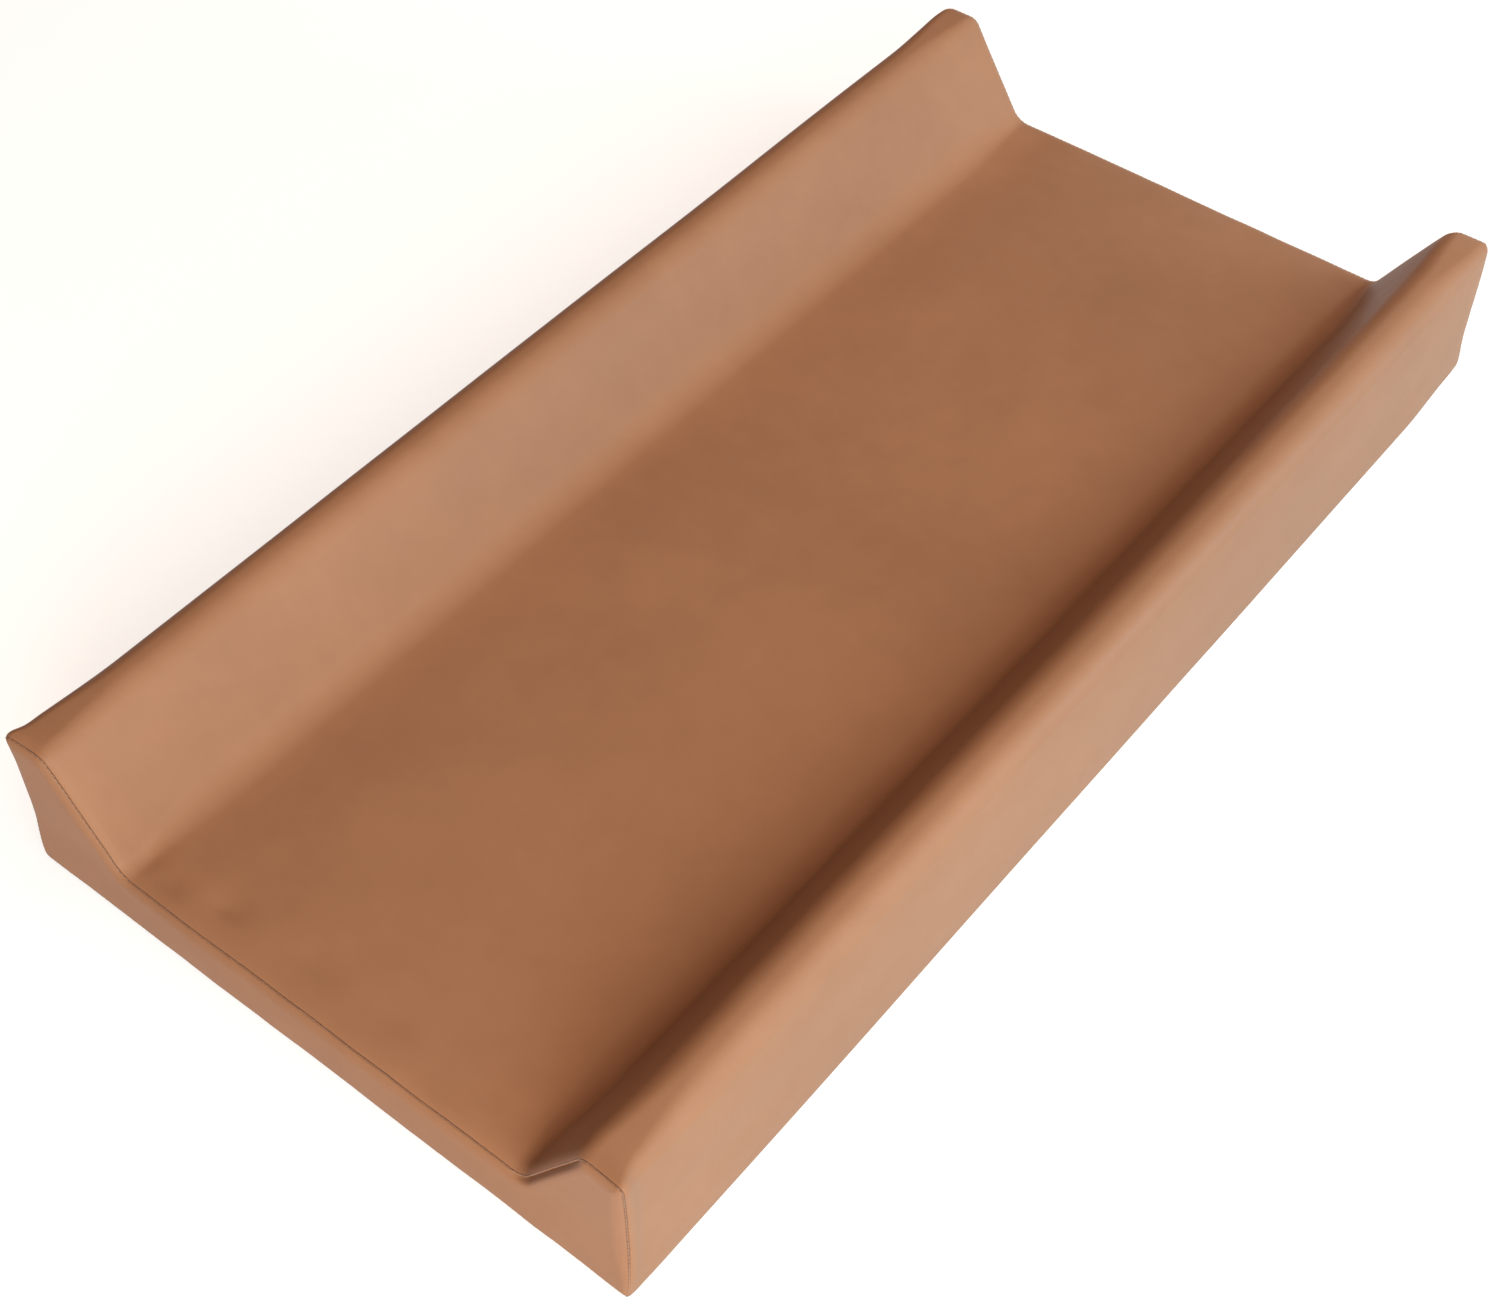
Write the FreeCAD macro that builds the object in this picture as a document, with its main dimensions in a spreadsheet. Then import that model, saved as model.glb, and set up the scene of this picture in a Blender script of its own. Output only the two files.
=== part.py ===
import FreeCAD, Part
import Sketcher
import math
import os

# Contoured changing pad, 32 x 16 x 4 inch class: a glued foam core with two raised
# side bolsters, inside a sewn faux-leather cover that closes with a zip across the
# rear end.  Origin: centre of the underside.  X across, Y along (front end at -Y), Z up.
# All sizes are in millimetres.

V = FreeCAD.Vector
doc = FreeCAD.newDocument("changing_pad")
sheet = doc.addObject("Spreadsheet::Sheet", "Params")

ROWS = [
    ("pad_length", "812.8", "finished length, 32 in"),
    ("pad_width", "406.4", "finished width, 16 in"),
    ("pad_height", "101.6", "height over the bolsters, 4 in"),
    ("middle_height", "37.5", "top of the cover in the changing area"),
    ("slope_angle", "57", "inner slope of a bolster from the horizontal, degrees"),
    ("foot_centre_x", "126", "where the flat ends and the inner corner starts to rise"),
    ("foot_radius", "22", "soft inner corner of the cover, concave"),
    ("ridge_outer_radius", "9", "outer top corner of a bolster"),
    ("ridge_inner_radius", "15", "inner top shoulder of a bolster"),
    ("cover_thickness", "1.2", "knit-backed faux leather"),
    ("base_thickness", "1.6", "grippy underside fabric"),
    ("seam_allowance", "10", "turned-in edge of an end panel"),
    ("edge_radius", "0.55", "rolled cut edge of the top cover"),
    ("panel_edge_radius", "0.9", "rolled edge of an end panel"),
    ("base_edge_radius", "0.7", "rolled edge of the underside"),
    ("fit_gap", "0.25", "between foam and cover as modelled"),
    ("base_flange_height", "8", "turned-up seam allowance of the underside"),
    ("base_flange_short", "14", "how far that allowance stops short of an end"),
    ("thread_width", "0.28", "seam thread across the groove"),
    ("thread_depth", "0.16", "seam thread into the groove"),
    ("base_thread_drop", "0.23", "underside of the base thread below the seam"),
    ("base_thread_height", "0.22", ""),
    ("bolster_foot_x", "138.8", "inner lower edge of a foam bolster"),
    ("foam_rear_setback", "3.3", "foam slab behind the rear end face"),
    ("zip_height", "18.5", "zip centre line above the underside"),
    ("zip_gap", "12", "between the folded edges of the rear panels"),
    ("zip_fold", "9", "folded-in edge of a rear panel along the zip"),
    ("tape_face", "2.4", "outer face of the zip tape behind the rear face"),
    ("tape_thickness", "0.6", "woven tape"),
    ("tape_width", "13", "one tape, from the chain to its cut edge"),
    ("tape_split", "1.1", "gap between the two tapes"),
    ("coil_split", "1.0", "gap between the two coils as modelled"),
    ("coil_width", "2.6", "one coil, size 5"),
    ("coil_depth", "2.2", "coil in front of the tape"),
    ("zip_side_inset", "2.6", "tape end inside the cover's outer side"),
    ("slider_x", "176", "closed position of the slider's centre"),
    ("slider_length", "12", ""),
    ("slider_width", "9", ""),
    ("slider_plate", "1.0", "front and back plate thickness"),
    ("slider_front", "1.1", "outer face of the front plate, proud of the rear face"),
    ("slider_back", "3.3", "near face of the back plate behind the rear face"),
    ("slider_web", "0.4", "divider between the plates"),
    ("slider_flange", "1.0", "bent side of the front plate"),
    ("slider_flange_reach", "2.0", "how far it bends back towards the tape"),
    ("bail_width", "1.6", ""),
    ("bail_length", "8", ""),
    ("bail_opening", "4.8", ""),
    ("bail_inner_front", "3.1", "underside of the bail in front of the rear face"),
    ("bail_front", "3.9", "top of the bail in front of the rear face"),
    ("pull_axis_front", "2.2", "pull pivot in front of the rear face"),
    ("pull_thickness", "1.1", ""),
    ("pull_length", "24", "pivot to tip"),
    ("pull_width", "6.4", ""),
    ("pull_eye_width", "3.2", ""),
    ("pull_eye_end", "5.4", "far side of the eye from the pivot"),
    ("stop_x", "185.8", "centre of an end stop"),
    ("stop_length", "3.2", ""),
    ("stop_width", "7.4", ""),
    ("stop_front", "0.5", "stop in front of the rear face"),
    ("stitch_offset", "2.6", "topstitch line from the folded edge"),
    ("stitch_width", "0.7", ""),
    ("stitch_proud", "0.3", ""),
    ("stitch_side_inset", "4.5", "end of the topstitch from the side"),
]
for i, (alias, value, note) in enumerate(ROWS, start=1):
    sheet.set("A%d" % i, alias)
    sheet.set("B%d" % i, value)
    sheet.set("C%d" % i, note)
    sheet.setAlias("B%d" % i, alias)
doc.recompute()


class Size:
    """A number together with the sheet expression that drives it."""

    def __init__(self, number, text):
        self.number = float(number)
        self.text = text

    def _join(self, other, sign, flip=False):
        if not isinstance(other, Size):
            other = Size(other, repr(float(other)))
        a, b = (other, self) if flip else (self, other)
        number = {
            "+": a.number + b.number,
            "-": a.number - b.number,
            "*": a.number * b.number,
        }[sign]
        return Size(number, "(%s %s %s)" % (a.text, sign, b.text))

    def __add__(self, other):
        return self._join(other, "+")

    def __radd__(self, other):
        return self._join(other, "+", True)

    def __sub__(self, other):
        return self._join(other, "-")

    def __rsub__(self, other):
        return self._join(other, "-", True)

    def __mul__(self, other):
        return self._join(other, "*")

    def __rmul__(self, other):
        return self._join(other, "*", True)

    def __neg__(self):
        return self._join(-1.0, "*")

    def __float__(self):
        return self.number


class Sizes:
    def __getattr__(self, alias):
        return Size(getattr(sheet, alias), "Params." + alias)


s = Sizes()
half_length = s.pad_length * 0.5
half_width = s.pad_width * 0.5
skin = s.cover_thickness
lining = skin + s.fit_gap  # outer face to foam
rim = skin * 2  # outer face to the inside of a turned-in edge


def new_body(name):
    body = doc.addObject("PartDesign::Body", name)
    body.Label = name
    return body


def plane(body, role):
    for feature in body.Origin.OriginFeatures:
        if feature.Role == role:
            return feature
    raise RuntimeError(role)


def new_sketch(body, name, role, offset=None):
    sketch = body.newObject("Sketcher::SketchObject", name)
    sketch.AttachmentSupport = [(plane(body, role), "")]
    sketch.MapMode = "FlatFace"
    if offset is not None:
        sketch.AttachmentOffset = FreeCAD.Placement(
            V(0, 0, float(offset)), FreeCAD.Rotation()
        )
        sketch.setExpression(".AttachmentOffset.Base.z", offset.text)
    return sketch


def dimension(sketch, kind, *args):
    """A driving constraint bound to the sheet; the last argument is its size."""
    *where, size = args
    number = math.radians(size.number) if kind == "Angle" else size.number
    index = sketch.addConstraint(Sketcher.Constraint(kind, *where, number))
    name = "c%d" % index
    sketch.renameConstraint(index, name)
    sketch.setExpression("Constraints." + name, size.text)


def along(sketch, kind, geometry, point, size):
    """Distance of a point from the sketch's origin along one axis, either side."""
    if size.number >= 0:
        dimension(sketch, kind, -1, 1, geometry, point, size)
    else:
        dimension(sketch, kind, geometry, point, -1, 1, -size)


def fixed(sketch, kind, *args):
    sketch.addConstraint(Sketcher.Constraint(kind, *args))


def line(x1, z1, x2, z2):
    return Part.LineSegment(V(x1, z1, 0), V(x2, z2, 0))


def arc(x, z, r, start, end):
    return Part.ArcOfCircle(Part.Circle(V(x, z, 0), V(0, 0, 1), r), start, end)


def rectangle(sketch, left, right, low, high):
    l, r, b, t = float(left), float(right), float(low), float(high)
    g = sketch.GeometryCount
    for x1, z1, x2, z2 in ((l, b, r, b), (r, b, r, t), (r, t, l, t), (l, t, l, b)):
        sketch.addGeometry(line(x1, z1, x2, z2), False)
    for k in range(4):
        fixed(sketch, "Coincident", g + k, 2, g + (k + 1) % 4, 1)
    fixed(sketch, "Horizontal", g)
    fixed(sketch, "Vertical", g + 1)
    fixed(sketch, "Horizontal", g + 2)
    fixed(sketch, "Vertical", g + 3)
    along(sketch, "DistanceX", g, 1, left)
    along(sketch, "DistanceX", g + 1, 1, right)
    along(sketch, "DistanceY", g, 1, low)
    along(sketch, "DistanceY", g + 2, 1, high)
    return g


def section(inset):
    """Key points of the pad's cross-section, moved in from the outer surface."""
    d = float(inset)
    a = math.radians(float(s.slope_angle))
    half, top, flat = float(half_width), float(s.pad_height), float(s.middle_height)
    ro, rs = float(s.ridge_outer_radius), float(s.ridge_inner_radius)
    rf, fx = float(s.foot_radius), float(s.foot_centre_x)
    run = (top - rs - flat - rf + (rf + rs) * math.cos(a)) / math.sin(a)
    sx = fx + (rf + rs) * math.sin(a) + run * math.cos(a)
    return {
        "side": half - d,
        "outer": (half - ro, top - ro, ro - d),
        "shoulder": (sx, top - rs, rs - d),
        "foot": (fx, flat + rf, rf + d),
        "crest": top - d,
        "floor": flat - d,
        "angle": a,
        "slope_top": (sx - (rs - d) * math.sin(a), top - rs + (rs - d) * math.cos(a)),
        "slope_foot": (fx + (rf + d) * math.sin(a), flat + rf - (rf + d) * math.cos(a)),
    }


def profile(sketch, inset, low):
    """The closed cross-section at an inset, down to the height given by low."""
    q = section(inset)
    zb, a = float(low), q["angle"]
    ox, oz, ro = q["outer"]
    sx, sz, rs = q["shoulder"]
    fx, fz, rf = q["foot"]
    tx, tz = q["slope_top"]
    bx, bz = q["slope_foot"]
    side, crest, floor = q["side"], q["crest"], q["floor"]
    h = math.pi / 2
    g = sketch.GeometryCount
    for shape in (
        line(side, zb, side, oz),
        arc(ox, oz, ro, 0, h),
        line(ox, crest, sx, crest),
        arc(sx, sz, rs, h, h + a),
        line(bx, bz, tx, tz),
        arc(fx, fz, rf, 3 * h, 3 * h + a),
        line(fx, floor, -fx, floor),
        arc(-fx, fz, rf, 3 * h - a, 3 * h),
        line(-bx, bz, -tx, tz),
        arc(-sx, sz, rs, h - a, h),
        line(-sx, crest, -ox, crest),
        arc(-ox, oz, ro, h, 2 * h),
        line(-side, oz, -side, zb),
        line(-side, zb, side, zb),
    ):
        sketch.addGeometry(shape, False)
    for i, pi, j, pj in (
        (0, 2, 1, 1), (1, 2, 2, 1), (2, 2, 3, 1), (3, 2, 4, 2), (4, 1, 5, 2),
        (5, 1, 6, 1), (6, 2, 7, 2), (7, 1, 8, 1), (8, 2, 9, 1), (9, 2, 10, 1),
        (10, 2, 11, 1), (11, 2, 12, 1),
    ):
        fixed(sketch, "Tangent", g + i, pi, g + j, pj)
    fixed(sketch, "Coincident", g + 12, 2, g + 13, 1)
    fixed(sketch, "Coincident", g + 13, 2, g, 1)
    fixed(sketch, "Horizontal", g + 13)
    fixed(sketch, "Vertical", g)
    fixed(sketch, "Vertical", g + 12)
    fixed(sketch, "Horizontal", g + 6)
    along(sketch, "DistanceX", g, 1, half_width - inset)
    along(sketch, "DistanceX", g + 12, 2, inset - half_width)
    along(sketch, "DistanceY", g + 13, 1, low)
    along(sketch, "DistanceY", g + 2, 1, s.pad_height - inset)
    along(sketch, "DistanceY", g + 10, 1, s.pad_height - inset)
    along(sketch, "DistanceY", g + 6, 1, s.middle_height - inset)
    for k in (1, 11):
        dimension(sketch, "Radius", g + k, s.ridge_outer_radius - inset)
    for k in (3, 9):
        dimension(sketch, "Radius", g + k, s.ridge_inner_radius - inset)
    for k in (5, 7):
        dimension(sketch, "Radius", g + k, s.foot_radius + inset)
    along(sketch, "DistanceX", g + 5, 3, s.foot_centre_x)
    along(sketch, "DistanceX", g + 7, 3, -s.foot_centre_x)
    dimension(sketch, "Angle", g + 4, s.slope_angle)
    dimension(sketch, "Angle", g + 8, 180 - s.slope_angle)
    return g


def bolster_profile(sketch, side, inset):
    """One foam bolster's section; side is +1 for +X, -1 for -X."""
    q = section(inset)
    a = q["angle"]
    ox, oz, ro = q["outer"]
    sx, sz, rs = q["shoulder"]
    tx, tz = q["slope_top"]
    floor, crest, edge = q["floor"], q["crest"], q["side"]
    foot = float(s.bolster_foot_x)
    # where a line at the slope's angle, touching the shoulder, meets the slab's top
    h = math.pi / 2
    m = side
    if side > 0:
        outer = arc(ox, oz, ro, 0, h)
        inner = arc(sx, sz, rs, h, h + a)
    else:
        outer = arc(-ox, oz, ro, h, 2 * h)
        inner = arc(-sx, sz, rs, h - a, h)
    for shape in (
        line(m * edge, floor, m * edge, oz),
        outer,
        line(m * ox, crest, m * sx, crest),
        inner,
        line(m * foot, floor, m * tx, tz),
        line(m * foot, floor, m * edge, floor),
    ):
        sketch.addGeometry(shape, False)
    # arcs run anticlockwise, so start and end swap on the other side
    o1, o2 = (1, 2) if side > 0 else (2, 1)
    for i, pi, j, pj in (
        (0, 2, 1, o1), (1, o2, 2, 1), (2, 2, 3, o1), (3, o2, 4, 2),
    ):
        fixed(sketch, "Tangent", i, pi, j, pj)
    fixed(sketch, "Coincident", 4, 1, 5, 1)
    fixed(sketch, "Coincident", 5, 2, 0, 1)
    fixed(sketch, "Horizontal", 5)
    fixed(sketch, "Horizontal", 2)
    fixed(sketch, "Vertical", 0)
    along(sketch, "DistanceX", 0, 1, m * (half_width - inset))
    along(sketch, "DistanceX", 4, 1, m * s.bolster_foot_x)
    along(sketch, "DistanceY", 5, 1, s.middle_height - inset)
    along(sketch, "DistanceY", 2, 1, s.pad_height - inset)
    dimension(sketch, "Radius", 1, s.ridge_outer_radius - inset)
    dimension(sketch, "Radius", 3, s.ridge_inner_radius - inset)
    dimension(sketch, "Angle", 4, s.slope_angle if side > 0 else 180 - s.slope_angle)


def pad_on(body, sketch, length, reversed_=False):
    feature = body.newObject("PartDesign::Pad", sketch.Name + "_Pad")
    feature.Profile = sketch
    feature.Length = float(length)
    feature.setExpression("Length", length.text)
    feature.Reversed = reversed_
    sketch.Visibility = False
    doc.recompute()
    return feature


def pocket_on(body, sketch, length, reversed_=False):
    before = body.Shape.Volume
    feature = body.newObject("PartDesign::Pocket", sketch.Name + "_Pocket")
    feature.Profile = sketch
    feature.Type = "Length"
    feature.Length = float(length)
    feature.setExpression("Length", length.text)
    feature.Reversed = reversed_
    sketch.Visibility = False
    doc.recompute()
    if not body.Shape.Volume < before - 0.5:
        raise RuntimeError("%s removed nothing from %s" % (sketch.Name, body.Name))
    return feature


def fillet_on(body, name, radius, chosen):
    """Round every edge for which chosen(edge) is true."""
    base = body.Tip
    names = [
        "Edge%d" % (i + 1) for i, e in enumerate(base.Shape.Edges) if chosen(e)
    ]
    if not names:
        raise RuntimeError(name + " found no edges")
    feature = body.newObject("PartDesign::Fillet", name)
    feature.Base = (base, names)
    feature.Radius = float(radius)
    feature.setExpression("Radius", radius.text)
    doc.recompute()
    if not feature.Shape.isValid() or not feature.Shape.Volume <= base.Shape.Volume * 1.2:
        raise RuntimeError(name + " is not sound")
    return feature


def at_y(edge, y):
    return all(abs(v.Point.y - y) < 1e-4 for v in edge.Vertexes)


def at_z(edge, z):
    return all(abs(v.Point.z - z) < 1e-4 for v in edge.Vertexes)


# A sketch on XZ_Plane faces -Y: its offset is measured towards the front end.
FRONT = half_length
REAR = -half_length

# ---------------------------------------------------------------- foam core
slab = new_body("foam_base_slab")
sk = new_sketch(slab, "SlabSection", "XZ_Plane", half_length - lining)
rectangle(sk, lining - half_width, half_width - lining, s.base_thickness + s.fit_gap, s.middle_height - lining)
pad_on(slab, sk, s.pad_length - lining - s.foam_rear_setback, True)
# the turned-in edges of the end panels press into the foam's ends
sk = new_sketch(slab, "SlabFrontEdge", "XZ_Plane", FRONT)
rectangle(sk, -half_width, half_width, -s.base_thickness, s.pad_height)
profile(sk, rim + s.fit_gap, s.base_thickness + skin + s.fit_gap)
pocket_on(slab, sk, s.seam_allowance + 0.5)
sk = new_sketch(slab, "SlabRearEdge", "XZ_Plane", REAR)
rectangle(sk, -half_width, half_width, -s.base_thickness, s.pad_height)
profile(sk, rim + s.fit_gap, s.base_thickness + skin + s.fit_gap)
pocket_on(slab, sk, s.seam_allowance + 0.5, True)
# the turned-up edges of the underside run along both sides
sk = new_sketch(slab, "SlabSideEdges", "XY_Plane", s.base_thickness + s.base_flange_height + 0.4)
rectangle(sk, half_width - rim - s.fit_gap, half_width, -half_length, half_length)
rectangle(sk, -half_width, rim + s.fit_gap - half_width, -half_length, half_length)
pocket_on(slab, sk, s.base_flange_height + 5)
# room for the slider's back plate behind the zip
sk = new_sketch(slab, "SlabZipGroove", "XZ_Plane", REAR)
rectangle(sk, s.slider_length * 0.5 - half_width, half_width - s.slider_length * 0.5, s.zip_height - s.slider_width * 0.5 - 0.6, s.zip_height + s.slider_width * 0.5 + 0.6)
pocket_on(slab, sk, s.slider_back + s.slider_plate + 0.4, True)

for name, side in (("foam_bolster_left", -1), ("foam_bolster_right", 1)):
    bolster = new_body(name)
    tag = "Left" if side < 0 else "Right"
    sk = new_sketch(bolster, "Bolster%sSection" % tag, "XZ_Plane", half_length - lining)
    bolster_profile(sk, side, lining)
    pad_on(bolster, sk, s.pad_length - lining * 2, True)
    for end, offset in (("Front", FRONT), ("Rear", REAR)):
        sk = new_sketch(bolster, "Bolster%s%sEdge" % (tag, end), "XZ_Plane", offset)
        rectangle(sk, -half_width, half_width, -s.base_thickness, s.pad_height)
        profile(sk, rim + s.fit_gap, s.base_thickness)
        pocket_on(bolster, sk, s.seam_allowance + 0.5, end == "Rear")

# ---------------------------------------------------------------- cover
top = new_body("top_cover")
sk = new_sketch(top, "CoverOutside", "XZ_Plane", FRONT)
profile(sk, skin * 0, s.base_thickness)
pad_on(top, sk, s.pad_length, True)
sk = new_sketch(top, "CoverInside", "XZ_Plane", FRONT)
profile(sk, skin, -s.base_thickness)
pocket_on(top, sk, s.pad_length)
L2 = float(half_length)
fillet_on(top, "CoverEdges", s.edge_radius, lambda e: (at_y(e, -L2) or at_y(e, L2)) and not at_z(e, float(s.base_thickness)))

front = new_body("front_end_panel")
sk = new_sketch(front, "FrontPanelOutline", "XZ_Plane", FRONT)
profile(sk, skin, s.base_thickness)
pad_on(front, sk, s.seam_allowance, True)
sk = new_sketch(front, "FrontPanelInside", "XZ_Plane", half_length - skin)
profile(sk, rim, s.base_thickness + skin)
pocket_on(front, sk, s.seam_allowance)
fillet_on(front, "FrontPanelEdges", s.panel_edge_radius, lambda e: at_y(e, -L2))

gap_low = s.zip_height - s.zip_gap * 0.5
gap_high = s.zip_height + s.zip_gap * 0.5
for name, tag in (("rear_end_panel_upper", "Upper"), ("rear_end_panel_lower", "Lower")):
    rear = new_body(name)
    sk = new_sketch(rear, "Rear%sOutline" % tag, "XZ_Plane", REAR)
    profile(sk, skin, s.base_thickness)
    pad_on(rear, sk, s.seam_allowance)
    sk = new_sketch(rear, "Rear%sInside" % tag, "XZ_Plane", skin - half_length)
    profile(sk, rim, s.base_thickness + skin)
    pocket_on(rear, sk, s.seam_allowance, True)
    fillet_on(rear, "Rear%sEdges" % tag, s.panel_edge_radius, lambda e: at_y(e, L2))
    sk = new_sketch(rear, "Rear%sCut" % tag, "XZ_Plane", REAR - s.edge_radius)
    if tag == "Upper":
        rectangle(sk, -half_width, half_width, -s.base_thickness, gap_high)
    else:
        rectangle(sk, -half_width, half_width, gap_low, s.pad_height + skin)
    pocket_on(rear, sk, s.seam_allowance + 2, True)
    # the edge beside the zip is folded in behind the panel
    sk = new_sketch(rear, "Rear%sFold" % tag, "XZ_Plane", skin - half_length)
    if tag == "Upper":
        rectangle(sk, rim - half_width, half_width - rim, gap_high, gap_high + s.zip_fold)
    else:
        rectangle(sk, rim - half_width, half_width - rim, gap_low - s.zip_fold, gap_low)
    pad_on(rear, sk, skin)

base = new_body("base_panel")
sk = new_sketch(base, "BaseOutline", "XY_Plane")
rectangle(sk, -half_width, half_width, -half_length, half_length)
pad_on(base, sk, s.base_thickness)
fillet_on(base, "BaseEdges", s.base_edge_radius, lambda e: at_z(e, 0.0) or at_z(e, float(s.base_thickness)))
sk = new_sketch(base, "BaseSideEdges", "XY_Plane", s.base_thickness)
rectangle(sk, half_width - rim, half_width - skin, s.base_flange_short - half_length, half_length - s.base_flange_short)
rectangle(sk, skin - half_width, rim - half_width, s.base_flange_short - half_length, half_length - s.base_flange_short)
pad_on(base, sk, s.base_flange_height)

# ---------------------------------------------------------------- seam threads
for name, tag, offset, rear_end in (
    ("front_end_seam_thread", "FrontThread", FRONT, False),
    ("rear_end_seam_thread", "RearThread", REAR, True),
):
    thread = new_body(name)
    sk = new_sketch(thread, tag + "Outside", "XZ_Plane", offset)
    profile(sk, skin - s.thread_width * 0.5, s.base_thickness + 0.8)
    pad_on(thread, sk, s.thread_depth, not rear_end)
    sk = new_sketch(thread, tag + "Inside", "XZ_Plane", offset)
    profile(sk, skin + s.thread_width * 0.5, -s.base_thickness)
    pocket_on(thread, sk, s.thread_depth, rear_end)

thread = new_body("base_seam_thread")
sk = new_sketch(thread, "BaseThreadLoop", "XY_Plane", s.base_thickness - s.base_thread_drop)
rectangle(sk, -half_width, half_width, -half_length, half_length)
rectangle(sk, s.thread_depth - half_width, half_width - s.thread_depth, s.thread_depth - half_length, half_length - s.thread_depth)
pad_on(thread, sk, s.base_thread_height)

# ---------------------------------------------------------------- zip
tape_end = half_width - s.zip_side_inset
for name, tag, side in (("zip_tape_upper", "TapeUpper", 1), ("zip_tape_lower", "TapeLower", -1)):
    tape = new_body(name)
    sk = new_sketch(tape, tag, "XZ_Plane", s.tape_face - half_length)
    near = s.zip_height + side * s.tape_split * 0.5
    far = s.zip_height + side * s.tape_width
    rectangle(sk, -tape_end, tape_end, near if side > 0 else far, far if side > 0 else near)
    pad_on(tape, sk, s.tape_thickness)

for name, tag, side in (("zip_coil_upper", "CoilUpper", 1), ("zip_coil_lower", "CoilLower", -1)):
    coil = new_body(name)
    sk = new_sketch(coil, tag, "XZ_Plane", s.tape_face - half_length)
    near = s.zip_height + side * s.coil_split * 0.5
    far = near + side * s.coil_width
    rectangle(sk, -tape_end, tape_end, near if side > 0 else far, far if side > 0 else near)
    pad_on(coil, sk, s.coil_depth, True)
    front_y = L2 - float(s.tape_face) + float(s.coil_depth)
    fillet_on(coil, tag + "Round", s.coil_depth * 0.4, lambda e: at_y(e, front_y) and abs(e.Vertexes[0].Point.x - e.Vertexes[1].Point.x) > 1)

stops = new_body("zip_end_stops")
sk = new_sketch(stops, "StopOutside", "XZ_Plane", s.tape_face - half_length)
for side in (-1, 1):
    centre = side * s.stop_x
    rectangle(sk, centre - s.stop_length * 0.5, centre + s.stop_length * 0.5, s.zip_height - s.stop_width * 0.5, s.zip_height + s.stop_width * 0.5)
stops.AllowCompound = True
pad_on(stops, sk, s.tape_face + s.stop_front, True)
sk = new_sketch(stops, "StopChannel", "XZ_Plane", s.tape_face - half_length)
for side in (-1, 1):
    centre = side * s.stop_x
    rectangle(sk, centre - s.stop_length, centre + s.stop_length, s.zip_height - s.coil_split * 0.5 - s.coil_width, s.zip_height + s.coil_split * 0.5 + s.coil_width)
pocket_on(stops, sk, s.coil_depth, False)

for name, tag, side in (("zip_topstitch_upper", "StitchUpper", 1), ("zip_topstitch_lower", "StitchLower", -1)):
    stitch = new_body(name)
    sk = new_sketch(stitch, tag, "XZ_Plane", REAR)
    centre = s.zip_height + side * (s.zip_gap * 0.5 + s.stitch_offset)
    rectangle(sk, s.stitch_side_inset - half_width, half_width - s.stitch_side_inset, centre - s.stitch_width * 0.5, centre + s.stitch_width * 0.5)
    pad_on(stitch, sk, s.stitch_proud, True)

# The slider is drawn about its own centre on the rear face, then set on the chain.
slider = new_body("zip_slider")
slider.Placement = FreeCAD.Placement(V(float(s.slider_x), L2, float(s.zip_height)), FreeCAD.Rotation())
slider.setExpression(".Placement.Base.x", s.slider_x.text)
slider.setExpression(".Placement.Base.y", half_length.text)
slider.setExpression(".Placement.Base.z", s.zip_height.text)
hx, hz = s.slider_length * 0.5, s.slider_width * 0.5
inner_face = s.slider_front - s.slider_plate
sk = new_sketch(slider, "SliderFrontPlate", "XZ_Plane", -s.slider_front)
rectangle(sk, -hx, hx, -hz, hz)
pad_on(slider, sk, s.slider_plate)
fillet_on(slider, "SliderFrontCorners", s.slider_width * 0.22, lambda e: abs(e.Vertexes[0].Point.y - e.Vertexes[1].Point.y) > 0.5)
sk = new_sketch(slider, "SliderDivider", "XZ_Plane", -s.slider_front + 0.3)
rectangle(sk, s.slider_web, hx - 1.5, s.slider_web * -0.5, s.slider_web * 0.5)
pad_on(slider, sk, s.slider_front - 0.3 + s.slider_back + s.slider_plate)
sk = new_sketch(slider, "SliderBackPlate", "XZ_Plane", s.slider_back)
rectangle(sk, -hx, hx, -hz, hz)
pad_on(slider, sk, s.slider_plate)
back_y = L2 - float(s.slider_back)
fillet_on(slider, "SliderBackCorners", s.slider_width * 0.22, lambda e: len(e.Vertexes) == 2 and abs(e.Vertexes[0].Point.y - e.Vertexes[1].Point.y) > 0.5 and max(v.Point.y for v in e.Vertexes) < float(-s.slider_back) + 0.01 and abs(e.Vertexes[0].Point.z) > 3)
sk = new_sketch(slider, "SliderFlanges", "XZ_Plane", -s.slider_front + 0.4)
for side in (-1, 1):
    a, b = side * (hz - s.slider_flange), side * hz
    rectangle(sk, 1.8 - hx, hx - 1.8, a if side > 0 else b, b if side > 0 else a)
pad_on(slider, sk, s.slider_plate - 0.4 + s.slider_flange_reach)
sk = new_sketch(slider, "SliderBail", "XY_Plane", s.bail_width * -0.5)
rectangle(sk, s.bail_length * -0.5, s.bail_length * 0.5, s.slider_front - 0.4, s.bail_front)
pad_on(slider, sk, s.bail_width)
bail_top = float(s.bail_front)
fillet_on(slider, "SliderBailCorners", s.bail_width * 0.8, lambda e: at_y(e, bail_top) and abs(e.Vertexes[0].Point.x - e.Vertexes[-1].Point.x) < 1e-4)
sk = new_sketch(slider, "SliderBailOpening", "XY_Plane", s.bail_width)
rectangle(sk, s.bail_opening * -0.5, s.bail_opening * 0.5, s.slider_front, s.bail_inner_front)
pocket_on(slider, sk, s.bail_width * 2)

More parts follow.
